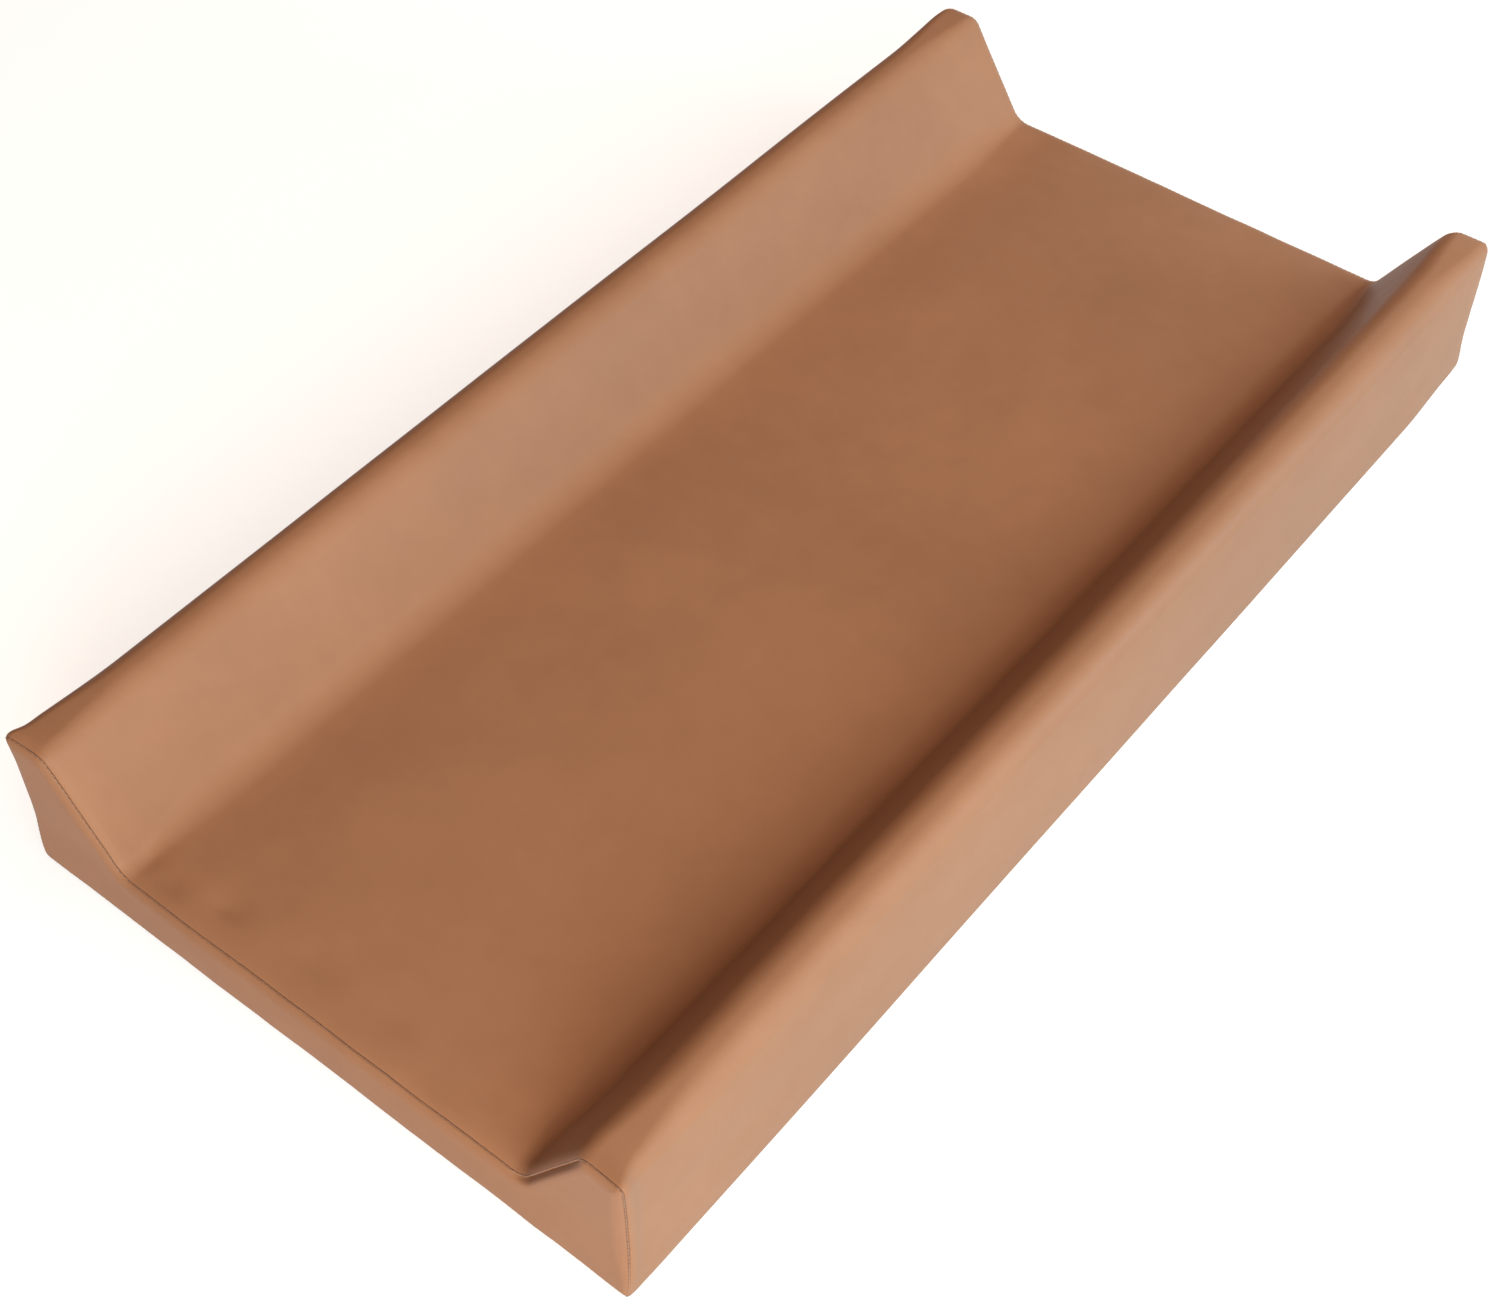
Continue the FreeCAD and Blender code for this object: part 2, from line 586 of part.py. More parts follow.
pull = new_body("zip_pull_tab")
pull.Placement = FreeCAD.Placement(V(float(s.slider_x), L2 + float(s.pull_axis_front), float(s.zip_height)), FreeCAD.Rotation())
pull.setExpression(".Placement.Base.x", s.slider_x.text)
pull.setExpression(".Placement.Base.y", (half_length + s.pull_axis_front).text)
pull.setExpression(".Placement.Base.z", s.zip_height.text)
bar = s.pull_thickness * 0.5
sk = new_sketch(pull, "PullOutline", "XZ_Plane", -bar)
rectangle(sk, -s.pull_length, bar, s.pull_width * -0.5, s.pull_width * 0.5)
pad_on(pull, sk, s.pull_thickness)
tip, end = -float(s.pull_length), float(bar)
fillet_on(pull, "PullTip", s.pull_width * 0.42, lambda e: all(abs(v.Point.x - tip) < 1e-4 for v in e.Vertexes) and abs(e.Vertexes[0].Point.y - e.Vertexes[1].Point.y) > 0.5)
fillet_on(pull, "PullPivotCorners", s.pull_width * 0.15, lambda e: all(abs(v.Point.x - end) < 1e-4 for v in e.Vertexes) and abs(e.Vertexes[0].Point.y - e.Vertexes[1].Point.y) > 0.5)
sk = new_sketch(pull, "PullEye", "XZ_Plane", -s.pull_thickness)
rectangle(sk, -s.pull_eye_end, -bar, s.pull_eye_width * -0.5, s.pull_eye_width * 0.5)
hole = sk.addGeometry(Part.Circle(V(tip + 4, 0, 0), V(0, 0, 1), 1.2), False)
fixed(sk, "PointOnObject", hole, 3, -1)
along(sk, "DistanceX", hole, 3, 4 - s.pull_length)
dimension(sk, "Radius", hole, s.pull_eye_width * 0.375)
pocket_on(pull, sk, s.pull_thickness * 2, True)
fillet_on(pull, "PullBarRound", bar * 0.85, lambda e: len(e.Vertexes) == 2 and abs(abs(e.Vertexes[0].Point.x) - end) < 1e-4 and abs(e.Vertexes[0].Point.x - e.Vertexes[1].Point.x) < 1e-4 and abs(e.Vertexes[0].Point.z - e.Vertexes[1].Point.z) > 2)

# ---------------------------------------------------------------- check and export
doc.recompute()
NODES = [
    slab.Label, "foam_bolster_left", "foam_bolster_right", top.Label, front.Label,
    "rear_end_panel_upper", "rear_end_panel_lower", base.Label,
    "front_end_seam_thread", "rear_end_seam_thread", "base_seam_thread",
    "zip_tape_upper", "zip_tape_lower", "zip_coil_upper", "zip_coil_lower",
    stops.Label, slider.Label, pull.Label, "zip_topstitch_upper", "zip_topstitch_lower",
]
for item in doc.Objects:
    if "Invalid" in item.State or "Error" in item.State:
        raise RuntimeError("%s is in state %s" % (item.Name, item.State))
    if item.TypeId == "Sketcher::SketchObject" and item.solve() != 0:
        raise RuntimeError("%s does not solve" % item.Name)
os.makedirs("parts", exist_ok=True)
for label in NODES:
    item = doc.getObjectsByLabel(label)[0]
    shape = item.Shape
    if shape.isNull() or not shape.isValid() or not shape.Solids:
        raise RuntimeError(label + " has no valid shape")
    box = shape.BoundBox
    print("%-24s solids %d  volume %10.1f  x %.2f..%.2f  y %.2f..%.2f  z %.2f..%.2f" % (
        label, len(shape.Solids), shape.Volume, box.XMin, box.XMax, box.YMin, box.YMax, box.ZMin, box.ZMax))
    shape.exportStep("parts/%s.step" % label)
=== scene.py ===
import math

import bpy
import numpy as np
from mathutils import Matrix, Vector
from mathutils.bvhtree import BVHTree
from mathutils.interpolate import poly_3d_calc


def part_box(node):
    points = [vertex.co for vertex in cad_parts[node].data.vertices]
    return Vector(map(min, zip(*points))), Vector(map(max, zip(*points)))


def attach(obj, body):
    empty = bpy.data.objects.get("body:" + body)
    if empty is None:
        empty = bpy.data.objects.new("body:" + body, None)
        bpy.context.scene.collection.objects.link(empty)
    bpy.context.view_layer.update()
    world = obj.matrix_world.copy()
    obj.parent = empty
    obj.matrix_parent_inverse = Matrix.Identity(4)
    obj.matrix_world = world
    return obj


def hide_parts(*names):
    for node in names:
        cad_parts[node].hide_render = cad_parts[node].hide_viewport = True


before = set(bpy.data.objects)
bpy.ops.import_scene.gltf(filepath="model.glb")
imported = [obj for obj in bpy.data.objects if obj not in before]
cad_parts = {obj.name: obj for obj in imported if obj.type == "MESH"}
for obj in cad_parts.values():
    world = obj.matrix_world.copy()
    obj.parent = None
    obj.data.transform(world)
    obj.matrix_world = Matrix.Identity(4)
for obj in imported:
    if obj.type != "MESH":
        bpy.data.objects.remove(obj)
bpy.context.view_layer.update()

mm = 0.001

# ------------------------------------------------------------------ sizes, from the CAD's nodes
cover_low, cover_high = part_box("top_cover")
slab_low, slab_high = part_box("foam_base_slab")
bolster_low, bolster_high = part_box("foam_bolster_right")
upper_low, upper_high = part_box("rear_end_panel_upper")
lower_low, lower_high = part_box("rear_end_panel_lower")
tape_up_low, tape_up_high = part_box("zip_tape_upper")
tape_dn_low, tape_dn_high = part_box("zip_tape_lower")
coil_up_low, coil_up_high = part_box("zip_coil_upper")
coil_dn_low, coil_dn_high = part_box("zip_coil_lower")

HALF_W = cover_high.x
HALF_L = cover_high.y
TOP_Z = cover_high.z - 0.5 * mm
MID_Z = slab_high.z + 1.45 * mm
SLOPE = math.radians(57.5)
FOOT_X = bolster_low.x - 0.6 * mm      # where the flat's plane meets the slope's plane
R_BOTTOM = 3.6 * mm
SPLIT = math.radians(44)               # how far round the bottom edge the base seam runs
THICK = 0.8 * mm
LENGTH = 2 * HALF_L


# ------------------------------------------------------------------ smooth noise
def lattice(ix, iy, iz, seed):
    h = (ix * 374761393 + iy * 668265263 + iz * 1103515245 + seed * 1274126177) & 0xFFFFFFFF
    h = ((h ^ (h >> 13)) * 1274126177) & 0xFFFFFFFF
    h = (h ^ (h >> 16)) & 0xFFFFFFFF
    return h.astype(np.float64) / 4294967295.0 * 2.0 - 1.0


def noise3(x, y, z, seed=0):
    """Smooth value noise between -1 and 1, the same for the same numbers every time."""
    x, y, z = np.broadcast_arrays(np.asarray(x, float), np.asarray(y, float), np.asarray(z, float))
    x0, y0, z0 = (np.floor(q).astype(np.int64) for q in (x, y, z))
    f = [q - q0 for q, q0 in ((x, x0), (y, y0), (z, z0))]
    f = [q * q * q * (q * (q * 6 - 15) + 10) for q in f]
    out = 0.0
    for dx in (0, 1):
        for dy in (0, 1):
            for dz in (0, 1):
                w = (f[0] if dx else 1 - f[0]) * (f[1] if dy else 1 - f[1]) * (f[2] if dz else 1 - f[2])
                out = out + w * lattice(x0 + dx, y0 + dy, z0 + dz, seed)
    return out


def fractal(x, y, z, seed=0, octaves=3):
    total, size, norm = 0.0, 1.0, 0.0
    for o in range(octaves):
        total = total + size * noise3(np.asarray(x) * 2 ** o, np.asarray(y) * 2 ** o, np.asarray(z) * 2 ** o, seed + 17 * o)
        norm += size
        size *= 0.5
    return total / norm


def smoothstep(x, a, b):
    t = np.clip((np.asarray(x, float) - a) / (b - a), 0, 1)
    return t * t * (3 - 2 * t)


# ------------------------------------------------------------------ mesh helpers
def mesh_from(name, verts, faces, smooth=True):
    me = bpy.data.meshes.new(name)
    me.from_pydata([tuple(v) for v in np.asarray(verts, float)], [], [tuple(int(i) for i in f) for f in faces])
    me.validate()
    me.update()
    if smooth:
        me.polygons.foreach_set("use_smooth", [True] * len(me.polygons))
    ob = bpy.data.objects.new(name, me)
    bpy.context.scene.collection.objects.link(ob)
    return ob


def points_of(ob):
    v = np.empty(len(ob.data.vertices) * 3)
    ob.data.vertices.foreach_get("co", v)
    return v.reshape(-1, 3)


def set_points(ob, v):
    ob.data.vertices.foreach_set("co", np.asarray(v, float).ravel())
    ob.data.update()


def grid_faces(rows, cols, wrap=False, flip=False, start=0):
    out = []
    for r in range(rows - 1):
        for c in range(cols if wrap else cols - 1):
            a = start + r * cols + c
            b = start + r * cols + (c + 1) % cols
            d, e = a + cols, b + cols
            out.append((a, d, e, b) if flip else (a, b, e, d))
    return out


def apply_modifiers(ob):
    dg = bpy.context.evaluated_depsgraph_get()
    me = bpy.data.meshes.new_from_object(ob.evaluated_get(dg))
    ob.modifiers.clear()
    old, name = ob.data, ob.data.name
    ob.data = me
    bpy.data.meshes.remove(old)
    me.name = name
    me.polygons.foreach_set("use_smooth", [True] * len(me.polygons))
    return ob


def give_thickness(ob, thickness=THICK):
    """A panel's real fabric thickness, inward from its outer face."""
    m = ob.modifiers.new("thickness", "SOLIDIFY")
    m.thickness = thickness
    m.offset = -1.0
    m.use_even_offset = False
    m.use_quality_normals = True
    return apply_modifiers(ob)


def tube(path, radius, sides=8, flatten=1.0, caps=True, up=(0, 0, 1)):
    """Vertices and faces of a round or oval tube along a path of points."""
    path = np.asarray(path, float)
    n = len(path)
    radius = np.broadcast_to(np.asarray(radius, float), (n,))
    tan = np.gradient(path, axis=0)
    tan /= np.linalg.norm(tan, axis=1)[:, None]
    up = np.asarray(up, float)
    side = np.cross(tan, up)
    short = np.linalg.norm(side, axis=1)
    side[short < 1e-6] = np.cross(tan[short < 1e-6], (1.0, 0.31, 0.17))
    side /= np.linalg.norm(side, axis=1)[:, None]
    rise = np.cross(side, tan)
    ang = np.arange(sides) * 2 * math.pi / sides
    v = (path[:, None, :] + radius[:, None, None] * (np.cos(ang)[None, :, None] * side[:, None, :]
         + flatten * np.sin(ang)[None, :, None] * rise[:, None, :])).reshape(-1, 3)
    f = grid_faces(n, sides, wrap=True, flip=False)
    if caps:
        f = f + [tuple(range(sides - 1, -1, -1)), tuple((n - 1) * sides + k for k in range(sides))]
    return v, f


def join_parts(parts):
    verts, faces, at = [], [], 0
    for v, f in parts:
        verts.append(np.asarray(v, float))
        faces.extend(tuple(i + at for i in q) for q in f)
        at += len(v)
    return np.vstack(verts), faces


# ------------------------------------------------------------------ the cross-section
# A half section runs from the middle of the changing area over the bolster, down the outer
# side and round the bottom edge.  Every stretch has a fixed number of samples, so that rows
# line up although the radii change along the length.
FINE = {"flat": 26, "foot": 13, "slope": 15, "shoulder": 13, "crest": 3, "corner": 13, "side": 17, "round": 10}
COARSE = {"flat": 20, "foot": 6, "slope": 9, "shoulder": 5, "crest": 1, "corner": 4, "side": 13, "round": 2}


def radii(end):
    """Foot, inner ridge and outer ridge radii at a distance from the end seam: tight at the
    seam, soft along the length."""
    soft = float(smoothstep(end, 2 * mm, 70 * mm))
    return (11 + 15 * soft) * mm, (12 + 5 * soft) * mm, (7.0 + 6.0 * soft) * mm


def half_section(end, inset=0.0, counts=FINE, foot_shift=0.0):
    """(points, normals, tags, parameter) for x >= 0, from the middle to the bottom's flat.
    An inset moves every run inward; the outward corners keep at least a small radius."""
    fr, ri, ro = radii(end)
    i = inset
    fr, ri, ro, rb = fr + i, max(ri - i, 1.0 * mm), max(ro - i, 0.6 * mm), max(R_BOTTOM - i, 0.5 * mm)
    t2, ca, sa = math.tan(SLOPE / 2), math.cos(SLOPE), math.sin(SLOPE)
    foot = FOOT_X - foot_shift
    low, high, wide = MID_Z - i, TOP_Z - i, HALF_W - i
    xf = foot + i * t2
    xt = foot + sa * i + (high - MID_Z + ca * i) / math.tan(SLOPE)
    fx, fz = xf - fr * t2, low + fr
    sx, sz = xt + ri * t2, high - ri
    ox, oz = wide - ro, high - ro
    bx, bz = wide - rb, i + rb
    deg = math.degrees(SLOPE)
    pts, nor, tag, par = [], [], [], []

    def add(points, normals, name, last=False):
        n = len(points) - (0 if last else 1)
        pts.extend(points[:n])
        nor.extend(normals[:n])
        tag.extend([name] * n)
        par.extend([k / (len(points) - 1) for k in range(n)])

    def arc(cx, cz, r, a0, a1, count, sign):
        p, n = [], []
        for k in range(count + 1):
            a = math.radians(a0 + (a1 - a0) * k / count)
            p.append((cx + r * math.cos(a), cz + r * math.sin(a)))
            n.append((sign * math.cos(a), sign * math.sin(a)))
        return p, n

    def line(p, q, n, count):
        return [(p[0] + (q[0] - p[0]) * k / count, p[1] + (q[1] - p[1]) * k / count) for k in range(count + 1)], [n] * (count + 1)

    add(*line((0, low), (fx, low), (0, 1), counts["flat"]), "flat")
    add(*arc(fx, fz, fr, -90, -90 + deg, counts["foot"], -1), "foot")
    add(*line((fx + fr * sa, fz - fr * ca), (sx - ri * sa, sz + ri * ca), (-sa, ca), counts["slope"]), "slope")
    add(*arc(sx, sz, ri, 90 + deg, 90, counts["shoulder"], 1), "shoulder")
    add(*line((sx, high), (ox, high), (0, 1), counts["crest"]), "crest")
    add(*arc(ox, oz, ro, 90, 0, counts["corner"], 1), "corner")
    add(*line((wide, oz), (wide, bz), (1, 0), counts["side"]), "side")
    add(*arc(bx, bz, rb, 0, -90, counts["round"], 1), "round", True)
    return np.array(pts), np.array(nor), np.array(tag), np.array(par)


def shallow(z):
    """The end seams' rolls are full along the top and get shallower towards the base."""
    return 0.42 + 0.58 * smoothstep(z, 3 * mm, 34 * mm)


# ------------------------------------------------------------------ the turned seam
# Across a seam both panels roll over and run inward side by side along the diagonal.  Each
# curve is followed from the flat towards the seam: s along, h outward.
LIP_R = 0.85 * mm
TURN_IN = math.radians(135)
SEAM_GAP = 0.05 * mm


def roll(soft, lip_steps=8, tail=2.4 * mm, tail_steps=2, radius=LIP_R, end_turn=TURN_IN):
    """soft: (length, turned angle in degrees, steps) in order.  Returns points (s, h), the
    last of the lip being the root, then the tail."""
    s = h = angle = 0.0
    pts = [(0.0, 0.0)]
    for length, to, steps in soft:
        to = math.radians(to)
        for k in range(steps):
            a = angle + (to - angle) * (k + 0.5) / steps
            s += length / steps * math.cos(a)
            h -= length / steps * math.sin(a)
            pts.append((s, h))
        angle = to
    for k in range(lip_steps):
        a = angle + (end_turn - angle) * (k + 0.5) / lip_steps
        step = radius * (end_turn - angle) / lip_steps
        s += step * math.cos(a)
        h -= step * math.sin(a)
        pts.append((s, h))
    root = len(pts) - 1
    for k in range(tail_steps):
        s += tail / tail_steps * math.cos(end_turn)
        h -= tail / tail_steps * math.sin(end_turn)
        pts.append((s, h))
    return np.array(pts), root


WRAP_ROLL, WRAP_ROOT = roll([(13 * mm, 7, 6), (6 * mm, 36, 6)])
END_ROLL, END_ROOT = roll([(6 * mm, 36, 6)])
ROOT_N = -WRAP_ROLL[WRAP_ROOT, 1]          # depth of the seam's root under the wrap
ROOT_A = -END_ROLL[END_ROOT, 1]            # and behind the end panel's face
g = SEAM_GAP / 2 / math.sqrt(2)


def fade(roll_points):
    return smoothstep(np.arange(len(roll_points)), 0, len(roll_points) * 0.6)


WRAP_A = ROOT_A + WRAP_ROLL[WRAP_ROOT, 0] - WRAP_ROLL[:, 0] + g * fade(WRAP_ROLL)   # behind the end
WRAP_N = WRAP_ROLL[:, 1] + g * fade(WRAP_ROLL)
END_E = ROOT_N + END_ROLL[END_ROOT, 0] - END_ROLL[:, 0] + g * fade(END_ROLL)        # inset from the wrap
END_A = -END_ROLL[:, 1] - g * fade(END_ROLL)


# ------------------------------------------------------------------ slow unevenness of the whole cover
def unevenness(p):
    """A small smooth movement of every point of the cover.  It depends on place alone, so
    that panels which meet stay together."""
    x, y, z = p[:, 0], p[:, 1], p[:, 2]
    end = HALF_L - np.abs(y)
    out = np.zeros_like(p)
    for k in range(3):
        out[:, k] += 0.45 * mm * fractal(x / 0.09, y / 0.13, z / 0.08, 101 + 7 * k, 2)
        out[:, k] += 0.20 * mm * noise3(x / 0.024, y / 0.024, z / 0.024, 151 + 7 * k) * (1 - smoothstep(end, 6 * mm, 30 * mm))
        out[:, k] += 0.07 * mm * noise3(x / 0.008, y / 0.008, z / 0.008, 171 + 7 * k) * (1 - smoothstep(end, 3 * mm, 12 * mm))
    out[:, 2] *= smoothstep(z, 1 * mm, 14 * mm)
    return out


# ------------------------------------------------------------------ outlines of the end panels
def foot_shift(end):
    """The foot stands a little nearer the middle where the end seam holds it."""
    return 2.5 * mm * (1 - float(smoothstep(end, 0, 60 * mm)))


def level_outline(end=0.0, inset=0.0, counts=FINE, top_level=None, bottom_level=None):
    """An end panel's outline at an inset, as a ring of n_top + n_side + n_top + n_side points
    that starts at the top left corner and runs over the top to the right.  top_level or
    bottom_level cut it level, as the zip does."""
    p, n, tag, par = half_section(end, inset, counts, foot_shift(end))
    corner = int(np.where(tag == "corner")[0][counts["corner"] // 2])
    curl = int(np.where(tag == "round")[0][counts["round"] // 2])
    flat_at = int(np.where(tag == "side")[0][-1]) + 1 + counts["round"]
    top_half = p[:corner + 1]
    side = p[corner:curl + 1]
    under = p[curl:flat_at + 1]
    wide = HALF_W - inset
    if top_level is not None:
        level = top_level
        top_half = np.stack([top_half[:, 0] / top_half[-1, 0] * wide, np.full(len(top_half), level)], axis=1)
        low = side[-1]
        down = np.linspace(0, 1, len(side))[:, None]
        side = np.array([[wide, level]]) * (1 - down) + np.array([[wide, R_BOTTOM]]) * down
        fit = (p[curl] - np.array([wide, R_BOTTOM]))
        side = side + fit[None, :] * (down ** 3)
        side[-1] = low
    if bottom_level is not None:
        level = bottom_level
        keep = side[: counts["corner"] // 2 + 2]
        rest = len(side) - len(keep)
        tail = np.stack([np.full(rest, wide), keep[-1, 1] + (level - keep[-1, 1]) * np.arange(1, rest + 1) / rest], axis=1)
        side = np.vstack([keep, tail])
        half_low = np.stack([top_half[:, 0] / top_half[-1, 0] * wide, np.full(len(top_half), level)], axis=1)
    else:
        x = top_half[:, 0] / top_half[-1, 0]
        flat_x = under[-1, 0]
        half_low = np.stack([top_half[:, 0], np.full(len(top_half), under[-1, 1])], axis=1)
        beyond = np.where(half_low[:, 0] >= flat_x)[0]
        m = len(beyond)
        for j, k in enumerate(beyond):
            pos = (1 - (j + 1) / m) * (len(under) - 1)
            lo = int(math.floor(pos))
            hi = min(lo + 1, len(under) - 1)
            half_low[k] = under[lo] * (1 - (pos - lo)) + under[hi] * (pos - lo)
        half_low[-1] = side[-1]
    flip = np.array([-1, 1])
    top = np.vstack([top_half[:0:-1] * flip, top_half])
    low = np.vstack([half_low[::-1], half_low[1:] * flip])
    left = side[::-1] * flip
    ring = np.vstack([top, side[1:], low[1:], left[1:-1]])
    return ring, len(top) - 1, len(side) - 1


def outline(end=0.0, inset=0.0, counts=FINE, top_level=None, bottom_level=None):
    ring, n_top, n_side = level_outline(end, inset, counts, top_level, bottom_level)
    if inset > 0:
        outer = level_outline(end, 0.0, counts, top_level, bottom_level)[0]
        ring = outer + (ring - outer) * shallow(outer[:, 1])[:, None]
    return ring, n_top, n_side


def fill_ring(ring, n_top, n_side, base=0):
    """Indices and extra points of a grid of quads that fills a ring."""
    index = np.zeros((n_side + 1, n_top + 1), int)
    total = 2 * (n_top + n_side)
    index[0, :] = base + np.arange(n_top + 1)
    index[:, -1] = base + np.arange(n_top, n_top + n_side + 1)
    index[-1, ::-1] = base + np.arange(n_top + n_side, 2 * n_top + n_side + 1)
    for j in range(1, n_side):
        index[j, 0] = base + total - j
    ring = np.asarray(ring)
    top, bottom = ring[index[0] - base], ring[index[-1] - base]
    left, right = ring[index[:, 0] - base], ring[index[:, -1] - base]
    lo, width = ring[:, 0].min(), ring[:, 0].max() - ring[:, 0].min()
    tall = top[:, 1] - bottom[:, 1]
    by_left, by_right = np.clip(tall / tall[0], 0, 1), np.clip(tall / tall[-1], 0, 1)
    extra, at = [], base + total
    for j in range(1, n_side):
        v = j / n_side
        line = top * (1 - v) + bottom * v
        u = (line[:, 0] - lo) / width
        dl, dr = left[j] - line[0], right[j] - line[-1]
        q = line + dl[None, :] * ((1 - u) ** 12 * by_left)[:, None] + dr[None, :] * (u ** 12 * by_right)[:, None]
        extra.append(q[1:-1])
        index[j, 1:-1] = at + np.arange(n_top - 1)
        at += n_top - 1
    return index, np.vstack(extra)


def quads_of(index, flip):
    out = []
    for j in range(index.shape[0] - 1):
        for i in range(index.shape[1] - 1):
            a, b, c, d = index[j, i], index[j, i + 1], index[j + 1, i + 1], index[j + 1, i]
            out.append((a, d, c, b) if flip else (a, b, c, d))
    return out


# ------------------------------------------------------------------ cloth simulation of the cover
# One coarse skin of the whole cover is blown out softly against its seams, which are held.
# Each panel then takes its movement from the part of the skin nearest to it.
def simulated_skin():
    skin_in = 0.8 * mm
    rows = np.linspace(0, LENGTH, 109)
    verts, hold = [], []
    for a in rows:
        end = max(0.0, min(a, LENGTH - a))
        ring, n_top, n_side = outline(end, skin_in, COARSE)
        left = ring[2 * n_top + n_side:]
        open_ring = np.vstack([left, ring[:n_top + n_side + 1]])
        for k, (x, z) in enumerate(open_ring):
            verts.append((x, -HALF_L + a, z))
            last = k == 0 or k == len(open_ring) - 1
            hold.append(1.0 if last or a in (0.0, LENGTH) else 0.0)
    cols = len(open_ring)
    faces = grid_faces(len(rows), cols)
    # the two end panels, welded to the first and last rows along the top and sides
    count = len(verts)
    ring, n_top, n_side = outline(0.0, skin_in, COARSE)
    index, extra = fill_ring(ring, n_top, n_side)
    n_left = n_side
    total = 2 * (n_top + n_side)
    for sign, row in ((-1, 0), (1, len(rows) - 1)):
        name = {}
        for k in range(total):
            if k <= n_top + n_side:
                name[k] = row * cols + n_left + k
            elif k >= 2 * n_top + n_side:
                name[k] = row * cols + (k - (2 * n_top + n_side))
            else:
                x, z = ring[k]
                verts.append((x, sign * HALF_L, z))
                hold.append(1.0)
                name[k] = count
                count += 1
        for k, (x, z) in enumerate(extra):
            verts.append((x, sign * HALF_L, z))
            hold.append(0.0)
            name[total + k] = count
            count += 1
        for q in quads_of(index, sign < 0):
            faces.append(tuple(name[i] for i in q))
    verts = np.array(verts)
    hold = np.array(hold)
    # foam glued under the cover holds it lightly, more in the hollow foot and on the ridges
    x, y, z = np.abs(verts[:, 0]), verts[:, 1], verts[:, 2]
    end = HALF_L - np.abs(y)
    foot_dist = np.hypot(x - (FOOT_X - 4 * mm), z - MID_Z)
    soft = 0.10 + 0.55 * np.exp(-(foot_dist / (20 * mm)) ** 2) + 0.20 * np.exp(-((x - 190 * mm) / (10 * mm)) ** 2) * (z > 80 * mm)
    hold = np.where(hold >= 1.0, 1.0, np.clip(soft, 0, 0.95))
    skin = mesh_from("cover_skin", verts, faces)
    group = skin.vertex_groups.new(name="hold")
    for w in np.unique(np.round(hold, 2)):
        group.add([int(i) for i in np.where(np.round(hold, 2) == w)[0]], float(w), "REPLACE")
    cloth = skin.modifiers.new("cloth", "CLOTH")
    s = cloth.settings
    s.quality = 6
    s.mass = 0.35
    s.air_damping = 2.0
    s.tension_stiffness = s.compression_stiffness = 18.0
    s.shear_stiffness = 9.0
    s.bending_stiffness = 1.2
    s.tension_damping = s.compression_damping = s.shear_damping = 12.0
    s.bending_damping = 1.0
    s.use_pressure = True
    s.uniform_pressure_force = PRESSURE
    s.shrink_min = SLACK
    s.vertex_group_mass = "hold"
    s.pin_stiffness = HOLD
    s.effector_weights.gravity = 0.0
    cloth.collision_settings.use_collision = False
    cloth.collision_settings.use_self_collision = False
    cloth.point_cache.frame_start = 1
    cloth.point_cache.frame_end = FRAMES
    scene = bpy.context.scene
    scene.frame_start, scene.frame_end = 1, FRAMES
    for f in range(1, FRAMES + 1):
        scene.frame_set(f)
    dg = bpy.context.evaluated_depsgraph_get()
    done = bpy.data.meshes.new_from_object(skin.evaluated_get(dg))
    moved = np.empty(len(done.vertices) * 3)
    done.vertices.foreach_get("co", moved)
    moved = moved.reshape(-1, 3)
    scene.frame_set(1)
    bpy.data.meshes.remove(done)
    old = skin.data
    bpy.data.objects.remove(skin)
    bpy.data.meshes.remove(old)
    d = moved - verts
    size = np.linalg.norm(d, axis=1)
    d *= (MOST_MOVE * np.tanh(size / MOST_MOVE) / np.maximum(size, 1e-9))[:, None]
    return verts, faces, d


PRESSURE, SLACK, HOLD, FRAMES, MOST_MOVE = 0.9, 0.0, 0.8, 20, 4.0 * mm


# ------------------------------------------------------------------ movement shared by all panels
skin_v, skin_f, skin_d = simulated_skin()
skin_tree = BVHTree.FromPolygons([Vector(p) for p in skin_v], skin_f)


def skin_movement(p):
    """The simulated movement at points of the undisplaced cover."""
    out = np.zeros_like(p)
    if skin_tree is None:
        x, y, z = np.abs(p[:, 0]), p[:, 1], p[:, 2]
        end = HALF_L - np.abs(y)
        flat = smoothstep(FOOT_X - x, 5 * mm, 110 * mm) * (z < 60 * mm) * (z > 30 * mm)
        out[:, 2] += 2.6 * mm * flat * smoothstep(end, 0, 90 * mm)
        side = np.exp(-((z - 48 * mm) / (28 * mm)) ** 2) * smoothstep(x, HALF_W - 4 * mm, HALF_W - 1 * mm)
        out[:, 0] += 2.2 * mm * side * np.sign(p[:, 0]) * smoothstep(end, 0, 70 * mm)
        return out
    for i, q in enumerate(p):
        loc, nor, k, dist = skin_tree.find_nearest(q)
        f = skin_f[k]
        c = [Vector(skin_v[j]) for j in f]
        w = poly_3d_calc(c, loc)
        for j, wj in zip(f, w):
            out[i] += wj * skin_d[j]
    return out


# Shallow hollows of the changing area just behind the end seams: (x, y, half-width along x,
# half-width along y, depth)
HOLLOWS = [
    (-137, -388, 12, 9, 3.4), (-114, -391, 13, 7, 1.6), (-80, -385, 12, 7, 2.2), (-22, -381, 15, 7, 1.4),
    (32, -380, 18, 8, 1.0),
    (96, -384, 16, 10, 0.7), (124, -372, 10, 16, 1.2),
    (-108, 386, 15, 10, 0.8), (-38, 383, 19, 9, 0.6), (47, 385, 18, 9, 0.7), (118, 384, 14, 11, 0.9),
]


